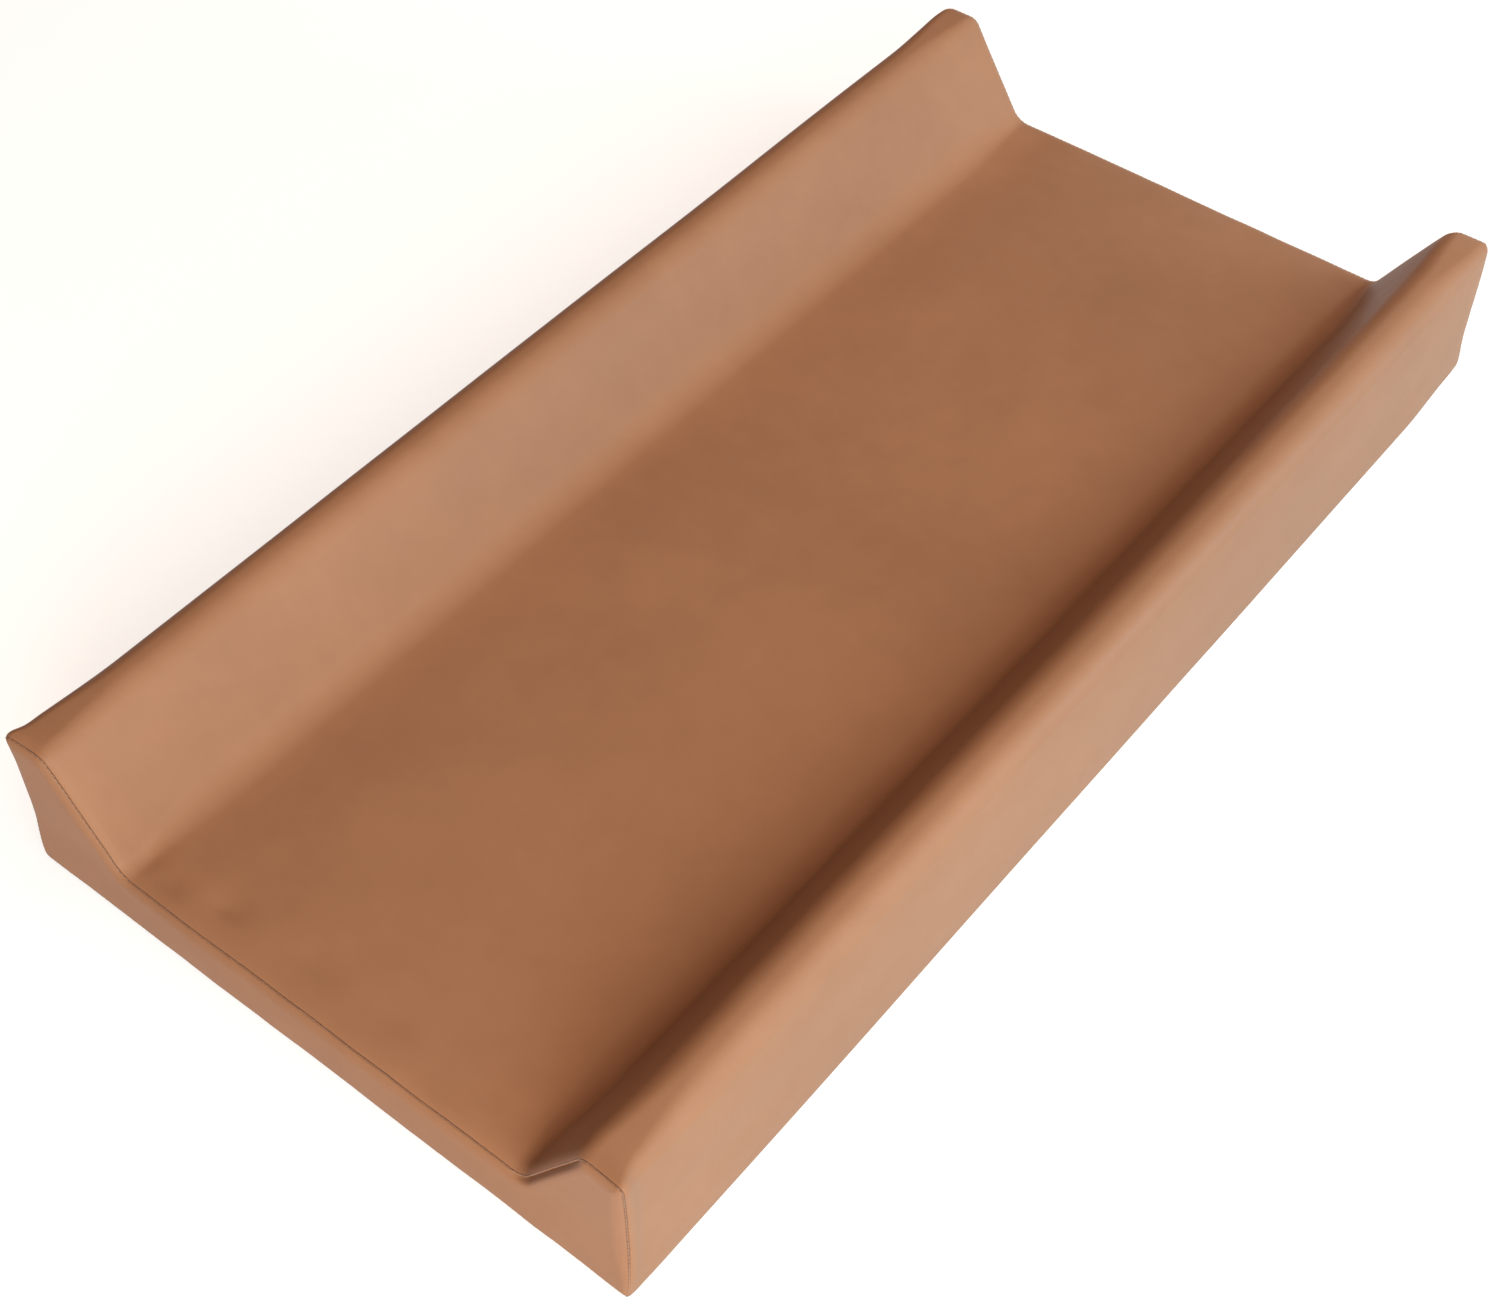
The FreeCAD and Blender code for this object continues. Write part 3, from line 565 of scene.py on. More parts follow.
def sculpted(p):
    out = np.zeros_like(p)
    x, y, z = p[:, 0] / mm, p[:, 1] / mm, p[:, 2] / mm
    top = smoothstep(z, 24, 34) * (1 - smoothstep(z, 48, 66))
    for hx, hy, wx, wy, depth in HOLLOWS:
        e = ((x - hx) / wx) ** 2 + ((y - hy) / wy) ** 2
        rim = ((x - hx) / (wx * 1.1)) ** 2 + ((y - hy + math.copysign(0.9 * wy, -hy) * -1.0) / wy) ** 2
        out[:, 2] += mm * top * (-depth * np.exp(-e) + 0.22 * depth * np.exp(-rim * 0.8))
    return out


def flared(p):
    """The soft walls stand a little wider at the floor than halfway up, but not at the zip."""
    out = np.zeros_like(p)
    x, y, z = p[:, 0], p[:, 1], p[:, 2]
    low = (1 - smoothstep(z, 0, 46 * mm)) * (1 - smoothstep(y, 330 * mm, 392 * mm))
    out[:, 0] = FLARE * low * smoothstep(x, 150 * mm, 200 * mm)
    out[:, 1] = -FLARE * low * smoothstep(-y, 350 * mm, 403 * mm)
    # the front's outer corners are drawn out along the upright seams, most at the top where
    # three panels meet
    edge = np.exp(-((np.abs(x) - 202 * mm) / (15 * mm)) ** 2 - ((y + HALF_L - 2 * mm) / (6.5 * mm)) ** 2)
    top = np.exp(-((z - 99 * mm) / (15 * mm)) ** 2)
    out[:, 0] += np.sign(x) * edge * (CORNER[0] * smoothstep(z, -6 * mm, 34 * mm) + 0.5 * mm * top)
    out[:, 1] -= CORNER[1] * edge * (0.35 * smoothstep(z, -6 * mm, 34 * mm) + 0.65 * top)
    out[:, 2] += CORNER[2] * edge * top
    return out


FLARE = 2.2 * mm
CORNER = (3.9 * mm, 2.2 * mm, 2.0 * mm)


def settle(p, near_zip=False):
    """Undisplaced cover points to their final places."""
    move = skin_movement(p) + sculpted(p) + flared(p)
    if near_zip:
        calm = smoothstep(np.abs(p[:, 2] - ZIP_Z), 9 * mm, 34 * mm)
        calm = np.where(p[:, 1] > HALF_L - 30 * mm, calm, 1.0)
        move = move * calm[:, None]
    return p + move + unevenness(p)


ZIP_Z = 0.5 * (coil_up_high.z + coil_dn_low.z)


# ------------------------------------------------------------------ top wrap and base
def rows_of(count):
    inner = np.linspace(WRAP_A[0], LENGTH - WRAP_A[0], count)[1:-1]
    a = np.concatenate([WRAP_A[::-1], inner, LENGTH - WRAP_A])
    n = np.concatenate([WRAP_N[::-1], np.zeros(len(inner)), WRAP_N])
    return a, n


BASE_ROLL, BASE_ROOT = roll([], 7, 1.8 * mm, 2, 0.8 * mm, math.radians(90))
BASE_STOP = SPLIT - (BASE_ROLL[BASE_ROOT, 0] + 0.05 * mm) / R_BOTTOM


def split_lip(angle, side):
    """The base seam's lip, from the bottom edge's rounding at an angle; side is 1 for the wrap,
    which comes down to the seam, and -1 for the base, which comes up to it."""
    cx, cz = HALF_W - R_BOTTOM, R_BOTTOM
    n = np.array([math.cos(angle), -math.sin(angle)])
    t = np.array([-math.sin(angle), -math.cos(angle)]) * side
    at = np.array([cx, cz]) + R_BOTTOM * n
    pts = at + BASE_ROLL[1:, :1] * t + BASE_ROLL[1:, 1:] * n
    return pts, np.repeat(n[None, :], len(pts), axis=0)


def wrap_half(end):
    p, n, tag, par = half_section(end, 0.0, FINE, foot_shift(end))
    keep = tag != "round"
    cx, cz = HALF_W - R_BOTTOM, R_BOTTOM
    ang = np.linspace(0, BASE_STOP, 6)
    arc = np.stack([cx + R_BOTTOM * np.cos(ang), cz - R_BOTTOM * np.sin(ang)], axis=1)
    arc_n = np.stack([np.cos(ang), -np.sin(ang)], axis=1)
    lip_p, lip_n = split_lip(BASE_STOP, 1)
    return (np.vstack([p[keep], arc, lip_p]), np.vstack([n[keep], arc_n, lip_n]))


def base_half():
    cx, cz = HALF_W - R_BOTTOM, R_BOTTOM
    flat = np.stack([np.linspace(0, cx, 22)[:-1], np.zeros(21)], axis=1)
    flat_n = np.repeat([[0.0, -1.0]], 21, axis=0)
    ang = np.linspace(math.pi / 2, 2 * SPLIT - BASE_STOP, 5)
    arc = np.stack([cx + R_BOTTOM * np.cos(ang), cz - R_BOTTOM * np.sin(ang)], axis=1)
    arc_n = np.stack([np.cos(ang), -np.sin(ang)], axis=1)
    lip_p, lip_n = split_lip(2 * SPLIT - BASE_STOP, -1)
    return np.vstack([flat, arc, lip_p]), np.vstack([flat_n, arc_n, lip_n])


def mirrored(p, n):
    flip = np.array([-1, 1])
    return np.vstack([p[:0:-1] * flip, p]), np.vstack([n[:0:-1] * flip, n])


def lofted(name, half, inner_rows, flip):
    a_all, n_all = rows_of(inner_rows)
    verts = []
    for a, off in zip(a_all, n_all):
        end = max(0.0, min(a, LENGTH - a))
        p, n = mirrored(*half(end))
        f = shallow(p[:, 1])
        q = p + off * f[:, None] * n
        pull = (1 - f) * ROOT_A * (1 - smoothstep(end, ROOT_A + 1 * mm, WRAP_A[0]))
        y = -HALF_L + a - np.sign(a - HALF_L) * -1.0 * pull
        verts.append(np.stack([q[:, 0], y, q[:, 1]], axis=1))
    cols = len(verts[0])
    verts = settle(np.vstack(verts))
    return mesh_from(name, verts, grid_faces(len(a_all), cols, flip=flip))


# ------------------------------------------------------------------ end panels
FOLD_ROLL, FOLD_ROOT = roll([(1.6 * mm, 8, 6)], 8, 4.5 * mm, 2, 0.52 * mm, math.radians(180))
FOLD_E = FOLD_ROLL[:, 0].max() - FOLD_ROLL[:, 0]
FOLD_A = -FOLD_ROLL[:, 1]
UPPER_EDGE = upper_low.z
LOWER_EDGE = lower_high.z


def gaping(ring, e):
    """How far the front panel's top edge has sunk behind the wrap's lip on the right slope,
    where the cover is pulled into the foot and the seam opens."""
    x, z = ring[:, 0], ring[:, 1]
    along = smoothstep(x, FOOT_X - 9 * mm, FOOT_X + 3 * mm) * (1 - smoothstep(x, FOOT_X + 29 * mm, FOOT_X + 42 * mm))
    return GAPE * along * (z > MID_Z - 14 * mm) * (1 - float(smoothstep(e, GAPE_FROM, GAPE_TO)))


GAPE, GAPE_FROM, GAPE_TO = 4.4 * mm, 5.2 * mm, 6.5 * mm


def end_panel(name, sign, kind="whole"):
    rings, depths = [], []
    for e, a, fe, fa in zip(END_E, END_A, FOLD_E, FOLD_A):
        if kind == "whole":
            ring, n_top, n_side = outline(0.0, e)
            depth = np.full(len(ring), a)
        elif kind == "upper":
            ring, n_top, n_side = outline(0.0, e, bottom_level=UPPER_EDGE + fe)
            depth = np.full(len(ring), a)
            w = smoothstep(np.arange(n_side + 1), n_side - 4, n_side)
            depth[n_top:n_top + n_side + 1] = a * (1 - w) + fa * w
            depth[n_top + n_side:2 * n_top + n_side + 1] = fa
            tail = (a * (1 - w) + fa * w)[::-1]
            depth[2 * n_top + n_side:] = tail[:-1]
        else:
            ring, n_top, n_side = outline(0.0, e, top_level=LOWER_EDGE - fe)
            depth = np.full(len(ring), a)
            w = 1 - smoothstep(np.arange(n_side + 1), 0, 4)
            depth[:n_top + 1] = fa
            depth[n_top:n_top + n_side + 1] = a * (1 - w) + fa * w
            tail = (a * (1 - w) + fa * w)[::-1]
            depth[2 * n_top + n_side:] = tail[:-1]
        rings.append(ring)
        if kind == "whole":
            depth = depth + gaping(ring, e)
        depths.append(depth * shallow(ring[:, 1]) if kind == "whole" else np.where(np.abs(depth - a) < 1e-9, depth * shallow(ring[:, 1]), depth))
    rings, depths = rings[::-1], depths[::-1]          # from the seam to the flat
    cols = len(rings[0])
    verts = [np.stack([r[:, 0], sign * (HALF_L - d), r[:, 1]], axis=1) for r, d in zip(rings, depths)]
    faces = grid_faces(len(rings), cols, wrap=True, flip=sign < 0)
    base = (len(rings) - 1) * cols
    index, extra = fill_ring(rings[-1], n_top, n_side, base)
    verts.append(np.stack([extra[:, 0], np.full(len(extra), sign * HALF_L), extra[:, 1]], axis=1))
    faces = faces + quads_of(index, sign < 0)
    verts = settle(np.vstack(verts), near_zip=sign > 0)
    return mesh_from(name, verts, faces)


top_wrap = lofted("cover_top_wrap", wrap_half, 128, flip=False)
front_panel = end_panel("cover_front_panel", -1)
rear_upper = end_panel("cover_rear_panel_upper", 1, "upper")
rear_lower = end_panel("cover_rear_panel_lower", 1, "lower")
base_cover = lofted("cover_base", lambda end: base_half(), 60, flip=True)

rear_tree = {
    "upper": BVHTree.FromObject(rear_upper, bpy.context.evaluated_depsgraph_get()),
    "lower": BVHTree.FromObject(rear_lower, bpy.context.evaluated_depsgraph_get()),
}

for ob in (top_wrap, front_panel, rear_upper, rear_lower, base_cover):
    give_thickness(ob)
    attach(ob, "pad")
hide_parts("top_cover")
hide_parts("front_end_panel")
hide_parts("rear_end_panel_upper")
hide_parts("rear_end_panel_lower")
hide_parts("base_panel")


# ------------------------------------------------------------------ foam core
def loft_block(name, ring, y0, y1, rows, edge):
    """A foam block: a closed ring of (x, z) along y, with softened end edges and end faces.
    The ring is taken counterclockwise seen from the front."""
    ring = np.asarray(ring, float)
    centre = ring.mean(axis=0)
    ys, shrink = [], []
    for k in range(5):
        a = math.pi / 2 * k / 4
        ys.append(y0 + edge * (1 - math.sin(a)))
        shrink.append(edge * (1 - math.cos(a)))
    ys = ys[::-1]
    shrink = shrink[::-1]
    ys = [y0 + edge * (1 - math.sin(math.pi / 2 * (1 - k / 4))) for k in range(5)]
    shrink = [edge * (1 - math.cos(math.pi / 2 * (1 - k / 4))) for k in range(5)]
    inner = list(np.linspace(y0 + edge, y1 - edge, rows)[1:-1])
    all_y = ys + inner + [y0 + y1 - v for v in ys[::-1]]
    all_s = shrink + [0.0] * len(inner) + shrink[::-1]
    nxt, prv = np.roll(ring, -1, axis=0), np.roll(ring, 1, axis=0)
    t = nxt - prv
    t /= np.linalg.norm(t, axis=1)[:, None]
    inward = np.stack([-t[:, 1], t[:, 0]], axis=1)
    verts = []
    for y, s in zip(all_y, all_s):
        q = ring + inward * s
        verts.append(np.stack([q[:, 0], np.full(len(q), y), q[:, 1]], axis=1))
    cols = len(ring)
    n = len(all_y)
    verts = np.vstack(verts)
    wob = 0.25 * mm * np.stack([noise3(verts[:, 0] / 0.03, verts[:, 1] / 0.03, verts[:, 2] / 0.03, 301 + k) for k in range(3)], axis=1)
    faces = grid_faces(n, cols, wrap=True, flip=False)
    # the end faces, as fans that narrow to the middle of the block
    for row, flip in ((0, False), (n - 1, True)):
        start = row * cols
        last = start
        rim = verts[start:start + cols]
        mid = rim.mean(axis=0)
        for f in (0.66, 0.33):
            new = mid + (rim - mid) * f
            at = len(verts)
            verts = np.vstack([verts, new])
            wob = np.vstack([wob, wob[start:start + cols]])
            for c in range(cols):
                q = (last + c, last + (c + 1) % cols, at + (c + 1) % cols, at + c)
                faces.append(q if flip else q[::-1])
            last = at
        verts = np.vstack([verts, mid])
        wob = np.vstack([wob, [[0, 0, 0]]])
        for c in range(cols):
            q = (last + c, last + (c + 1) % cols, len(verts) - 1)
            faces.append(q if flip else q[::-1])
    return mesh_from(name, verts + wob, faces)


def rounded_polygon(corners, radii_mm, steps=5, spacing=7 * mm):
    """Corners counterclockwise, each with its own radius, with extra points along the runs."""
    out = []
    n = len(corners)
    c = [np.array(p, float) for p in corners]
    arcs = []
    for i in range(n):
        a, b, d = c[i - 1], c[i], c[(i + 1) % n]
        u, w = (a - b) / np.linalg.norm(a - b), (d - b) / np.linalg.norm(d - b)
        ang = math.acos(np.clip(np.dot(u, w), -1, 1))
        r = radii_mm[i] * mm
        cut = r / math.tan(ang / 2)
        p, q = b + u * cut, b + w * cut
        mid = b + (u + w) / np.linalg.norm(u + w) * (r / math.sin(ang / 2))
        arc = []
        for k in range(steps + 1):
            f = k / steps
            d0, d1 = (p - mid) / r, (q - mid) / r
            v = d0 * (1 - f) + d1 * f
            arc.append(mid + v / np.linalg.norm(v) * r)
        arcs.append(arc)
    for i in range(n):
        out.extend(arcs[i])
        p, q = arcs[i][-1], arcs[(i + 1) % n][0]
        m = max(1, int(np.linalg.norm(q - p) / spacing))
        out.extend([p + (q - p) * k / m for k in range(1, m)])
    return out


slack = 1.4 * mm
FOAM_END = HALF_L - 5.5 * mm
sx, sz = slab_high.x - slack, slab_high.z - slack
foam_slab = loft_block(
    "foam_base_slab_soft",
    rounded_polygon([(-sx, slab_low.z + 0.4 * mm), (sx, slab_low.z + 0.4 * mm), (sx, sz), (-sx, sz)], [6, 6, 1.5, 1.5]),
    slab_low.y + slack, slab_high.y - 1.2 * mm, 70, 5 * mm)
ts = math.tan(SLOPE)
inner_x = bolster_low.x + 3.5 * mm
top_z = bolster_high.z - 1.8 * mm
ridge_x = inner_x + (top_z - bolster_low.z) / ts
wedge = [(inner_x, bolster_low.z + 0.1 * mm), (sx, bolster_low.z + 0.1 * mm), (sx, top_z), (ridge_x, top_z)]
right_ring = rounded_polygon(wedge, [1.2, 1.5, 12, 14])
foam_right = loft_block("foam_bolster_right_soft", right_ring, -FOAM_END, FOAM_END, 70, 7 * mm)
left_ring = [(-x, z) for x, z in right_ring[::-1]]
foam_left = loft_block("foam_bolster_left_soft", left_ring, -FOAM_END, FOAM_END, 70, 7 * mm)
for ob, node in ((foam_slab, "foam_base_slab"), (foam_right, "foam_bolster_right"), (foam_left, "foam_bolster_left")):
    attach(ob, "pad")
    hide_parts(node)


# ------------------------------------------------------------------ sewing
def stitches(name, path, normals, length, pitch, radius, dip, sides=7, steps=7, lift=0.0):
    """Lock stitches along a path: each a short thread that rises out of the cloth and goes
    back in."""
    path = np.asarray(path, float)
    normals = np.asarray(normals, float)
    seg = np.linalg.norm(np.diff(path, axis=0), axis=1)
    s = np.concatenate([[0], np.cumsum(seg)])
    count = int((s[-1] - 2 * mm) / pitch)
    start = (s[-1] - count * pitch) / 2 + (pitch - length) / 2
    parts = []
    for k in range(count):
        f = start + k * pitch + length * np.linspace(0, 1, steps)
        p = np.stack([np.interp(f, s, path[:, i]) for i in range(3)], axis=1)
        n = np.stack([np.interp(f, s, normals[:, i]) for i in range(3)], axis=1)
        n /= np.linalg.norm(n, axis=1)[:, None]
        u = np.linspace(-1, 1, steps)
        p = p + n * (lift - dip * u[:, None] ** 4 + radius * 0.55)
        sway = 0.06 * mm * float(noise3(k * 0.7, 0.3, 0.1, 61))
        t = np.gradient(p, axis=0)
        side = np.cross(t, n)
        side /= np.linalg.norm(side, axis=1)[:, None]
        p = p + side * (sway + 0.05 * mm * u[:, None])
        r = radius * (1 - 0.25 * np.abs(u) ** 3)
        parts.append(tube(p, r, sides, up=n[steps // 2]))
    v, f = join_parts(parts)
    return mesh_from(name, v, f)


def seam_path(sign, full=False):
    """The root of an end seam, from the bottom edge up one side, over the top and down the
    other; or only along the bottom."""
    ring, n_top, n_side = outline(0.0, ROOT_N - 0.56 * mm)
    total = len(ring)
    left = list(range(2 * n_top + n_side, total))
    top = list(range(0, n_top + n_side + 1))
    low = list(range(n_top + n_side, 2 * n_top + n_side + 1))
    order = low if full else left + top
    q = ring[order]
    p = np.stack([q[:, 0], sign * (HALF_L - (ROOT_A - 0.56 * mm) * shallow(q[:, 1])), q[:, 1]], axis=1)
    n = np.gradient(q, axis=0)
    n /= np.linalg.norm(n, axis=1)[:, None]
    out = np.stack([-n[:, 1], np.full(len(q), float(sign)), n[:, 0]], axis=1)
    out[:, [0, 2]] *= 1.0
    out /= np.linalg.norm(out, axis=1)[:, None]
    return settle(p, near_zip=sign > 0), out


THREAD_R = 0.27 * mm
front_thread = stitches("front_end_seam_stitches", *seam_path(-1), 2.9 * mm, 3.2 * mm, THREAD_R, 0.18 * mm)
rear_thread = stitches("rear_end_seam_stitches", *seam_path(1), 2.9 * mm, 3.2 * mm, THREAD_R, 0.18 * mm)


def base_seam_path():
    c = math.cos(SPLIT)
    r = R_BOTTOM - 0.9 * mm
    x, z = HALF_W - R_BOTTOM + r * math.cos(SPLIT), R_BOTTOM - r * math.sin(SPLIT)
    y = np.linspace(-HALF_L + 9 * mm, HALF_L - 9 * mm, 160)
    sides = []
    for s in (-1, 1):
        p = np.stack([np.full(len(y), s * x), y, np.full(len(y), z)], axis=1)
        n = np.repeat([[s * math.cos(SPLIT), 0, -math.sin(SPLIT)]], len(y), axis=0)
        sides.append((settle(p), n))
    return sides


base_parts = []
for k, (p, n) in enumerate(base_seam_path()):
    base_parts.append(stitches(f"base_side_{k}", p, n, 2.7 * mm, 3.5 * mm, THREAD_R, 0.25 * mm, 6, 5))
for k, sign in enumerate((-1, 1)):
    p, n = seam_path(sign, full=True)
    base_parts.append(stitches(f"base_end_{k}", p, -n, 2.7 * mm, 3.5 * mm, THREAD_R, 0.25 * mm, 6, 5, lift=-0.2 * mm))


def join_objects(name, objects):
    parts = []
    for ob in objects:
        parts.append((points_of(ob), [tuple(p.vertices) for p in ob.data.polygons]))
    v, f = join_parts(parts)
    for ob in objects:
        me = ob.data
        bpy.data.objects.remove(ob)
        bpy.data.meshes.remove(me)
    return mesh_from(name, v, f)


base_thread = join_objects("base_seam_stitches", base_parts)


def rear_surface(which, x, z):
    hit = rear_tree[which].ray_cast(Vector((x, HALF_L + 0.02, z)), Vector((0, -1, 0)))
    return hit[0].y if hit[0] is not None else HALF_L


def topstitch_path(which, z):
    x = np.linspace(-HALF_W + 8 * mm, HALF_W - 8 * mm, 240)
    zz = z + 0.18 * mm * noise3(x / 0.02, 0.5, 0.5, 77)
    y = np.array([rear_surface(which, a, b) for a, b in zip(x, zz)])
    return np.stack([x, y, zz], axis=1), np.repeat([[0.0, 1.0, 0.0]], len(x), axis=0)


stitch_up = stitches("zip_topstitch_upper_row", *topstitch_path("upper", UPPER_EDGE + 2.6 * mm), 3.0 * mm, 3.8 * mm, 0.24 * mm, 0.42 * mm)
stitch_dn = stitches("zip_topstitch_lower_row", *topstitch_path("lower", LOWER_EDGE - 2.6 * mm), 3.0 * mm, 3.8 * mm, 0.24 * mm, 0.42 * mm)
for ob, node in ((front_thread, "front_end_seam_thread"), (rear_thread, "rear_end_seam_thread"), (base_thread, "base_seam_thread"),
                 (stitch_up, "zip_topstitch_upper"), (stitch_dn, "zip_topstitch_lower")):
    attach(ob, "pad")
    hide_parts(node)


# ------------------------------------------------------------------ zip
def zip_tape(name, low, high, inner_is_low):
    """A woven tape: a thin strip that is a little thicker at its corded edge by the coil."""
    across = 14
    x = np.linspace(low.x, high.x, 260)
    t = np.linspace(0, 1, across)
    verts, cols = [], across
    mid_y = 0.5 * (low.y + high.y)
    for side in (1, -1):
        for xx in x:
            for tt in t:
                z = low.z + (high.z - low.z) * tt
                edge = tt if inner_is_low else 1 - tt
                bead = 0.10 * mm * math.exp(-(edge / 0.07) ** 2)
                y = mid_y + side * (0.20 * mm + bead) + 0.06 * mm * float(noise3(xx / 0.03, tt * 2, 0.0, 88))
                verts.append((xx, y, z))
    n = len(x)
    faces = grid_faces(n, cols, flip=False) + grid_faces(n, cols, flip=True, start=n * cols)
    off = n * cols
    for r in range(n - 1):
        for c in (0, cols - 1):
            a, b = r * cols + c, (r + 1) * cols + c
            q = (a, b, b + off, a + off)
            faces.append(q if c == 0 else q[::-1])
    for r in (0, n - 1):
        for c in range(cols - 1):
            a, b = r * cols + c, r * cols + c + 1
            q = (a, b, b + off, a + off)
            faces.append(q if r else q[::-1])
    ob = mesh_from(name, verts, faces)
    return ob


tape_up = zip_tape("zip_tape_upper_woven", tape_up_low, tape_up_high, True)
tape_dn = zip_tape("zip_tape_lower_woven", tape_dn_low, tape_dn_high, False)

COIL_PITCH = 1.35 * mm
WIRE = 0.27 * mm


def coil(name, low, high, upper):
    """One half of a coil zip: a nylon monofilament wound into loops that mesh with the other
    half's."""
    reach = 0.42 * mm
    z0 = (low.z - reach if upper else low.z) + WIRE
    z1 = (high.z if upper else high.z + reach) - WIRE
    yc, ry = 0.5 * (low.y + high.y), 0.5 * (high.y - low.y) - WIRE - 0.04 * mm
    zc, rz = 0.5 * (z0 + z1), 0.5 * (z1 - z0)
    turns = int((high.x - low.x - 2 * WIRE) / COIL_PITCH)
    x0 = -turns * COIL_PITCH / 2
    th = np.arange(turns * 13 + 1) / 13 * 2 * math.pi
    c, s = np.cos(th), np.sin(th)
    z = zc + rz * np.sign(c) * np.abs(c) ** 0.8
    y = yc + ry * np.sign(s) * np.abs(s) ** 0.85 * (1 if upper else -1)
    x = x0 + COIL_PITCH * th / (2 * math.pi)
    flat = 1 + 0.12 * np.exp(-((c + (1 if upper else -1)) / 0.3) ** 2)
    v, f = tube(np.stack([x, y, z], axis=1), WIRE * flat, 6, up=(1, 0, 0))
    return mesh_from(name, v, f)


coil_up = coil("zip_coil_upper_loops", coil_up_low, coil_up_high, True)
coil_dn = coil("zip_coil_lower_loops", coil_dn_low, coil_dn_high, False)
for ob, node, kind in ((tape_up, "zip_tape_upper", "zip_tape"), (tape_dn, "zip_tape_lower", "zip_tape"),
                       (coil_up, "zip_coil_upper", "zip_coil"), (coil_dn, "zip_coil_lower", "zip_coil")):
    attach(ob, "pad")
    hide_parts(node)

# Soft boxes round the pad: (name, direction from the pad, power in watts, colour, width, height)
LIGHTS = [
    ("soft_front_right", (0.8, -0.75, 0.5), 46.0, (0.92, 1.04, 1.04), 1.5, 1.1),
    ("front_fill", (0.45, -0.9, 0.35), 25.0, (1.28, 0.93, 0.62), 1.5, 1.1),
    ("soft_back_right", (0.7, 0.6, 0.6), 17.7, (0.90, 1.05, 1.05), 1.5, 1.1),
    ("low_back_right", (0.82, 0.53, 0.17), 20.2, (0.72, 1.02, 1.27), 0.7, 0.5),
    ("soft_right", (1.0, 0.0, 0.45), 8.0, (0.5, 1.1, 1.4), 1.5, 1.1),
    ("soft_back", (0.0, 1.0, 0.5), 19.9, (1.26, 0.98, 0.76), 1.5, 1.1),
    ("soft_top", (0.0, 0.0, 1.0), 10.5, (1.6, 0.85, 0.55), 1.5, 1.1),
    ("soft_top_right", (0.6, 0.0, 1.0), 12.3, (1.28, 1.05, 0.67), 1.5, 1.1),
]
WORLD = 0.02


# ------------------------------------------------------------------ materials
def node_material(name):
    m = bpy.data.materials.new(name)
    m.use_nodes = True
    nt = m.node_tree
    nt.nodes.clear()
    out = nt.nodes.new("ShaderNodeOutputMaterial")
    b = nt.nodes.new("ShaderNodeBsdfPrincipled")
    nt.links.new(b.outputs[0], out.inputs[0])
    return m, nt.nodes, nt.links, b


def texture(nodes, links, kind, scale, coord, **sockets):
    n = nodes.new(kind)
    n.inputs["Scale"].default_value = scale
    for k, v in sockets.items():
        n.inputs[k].default_value = v
    links.new(coord, n.inputs["Vector"])
    return n


def stretch(nodes, links, value, low, high, to_low, to_high):
    n = nodes.new("ShaderNodeMapRange")
    n.inputs["From Min"].default_value, n.inputs["From Max"].default_value = low, high
    n.inputs["To Min"].default_value, n.inputs["To Max"].default_value = to_low, to_high
    links.new(value, n.inputs["Value"])
    return n.outputs["Result"]


def maths(nodes, links, op, a, b):
    n = nodes.new("ShaderNodeMath")
    n.operation = op
    for k, v in enumerate((a, b)):
        if isinstance(v, (int, float)):
            n.inputs[k].default_value = v
        else:
            links.new(v, n.inputs[k])
    return n.outputs[0]


def ramp(nodes, links, value, stops):
    n = nodes.new("ShaderNodeValToRGB")
    e = n.color_ramp.elements
    while len(e) < len(stops):
        e.new(0.5)
    for k, (pos, col) in enumerate(stops):
        e[k].position = pos
        e[k].color = (*col, 1)
    links.new(value, n.inputs["Fac"])
    return n.outputs["Color"]


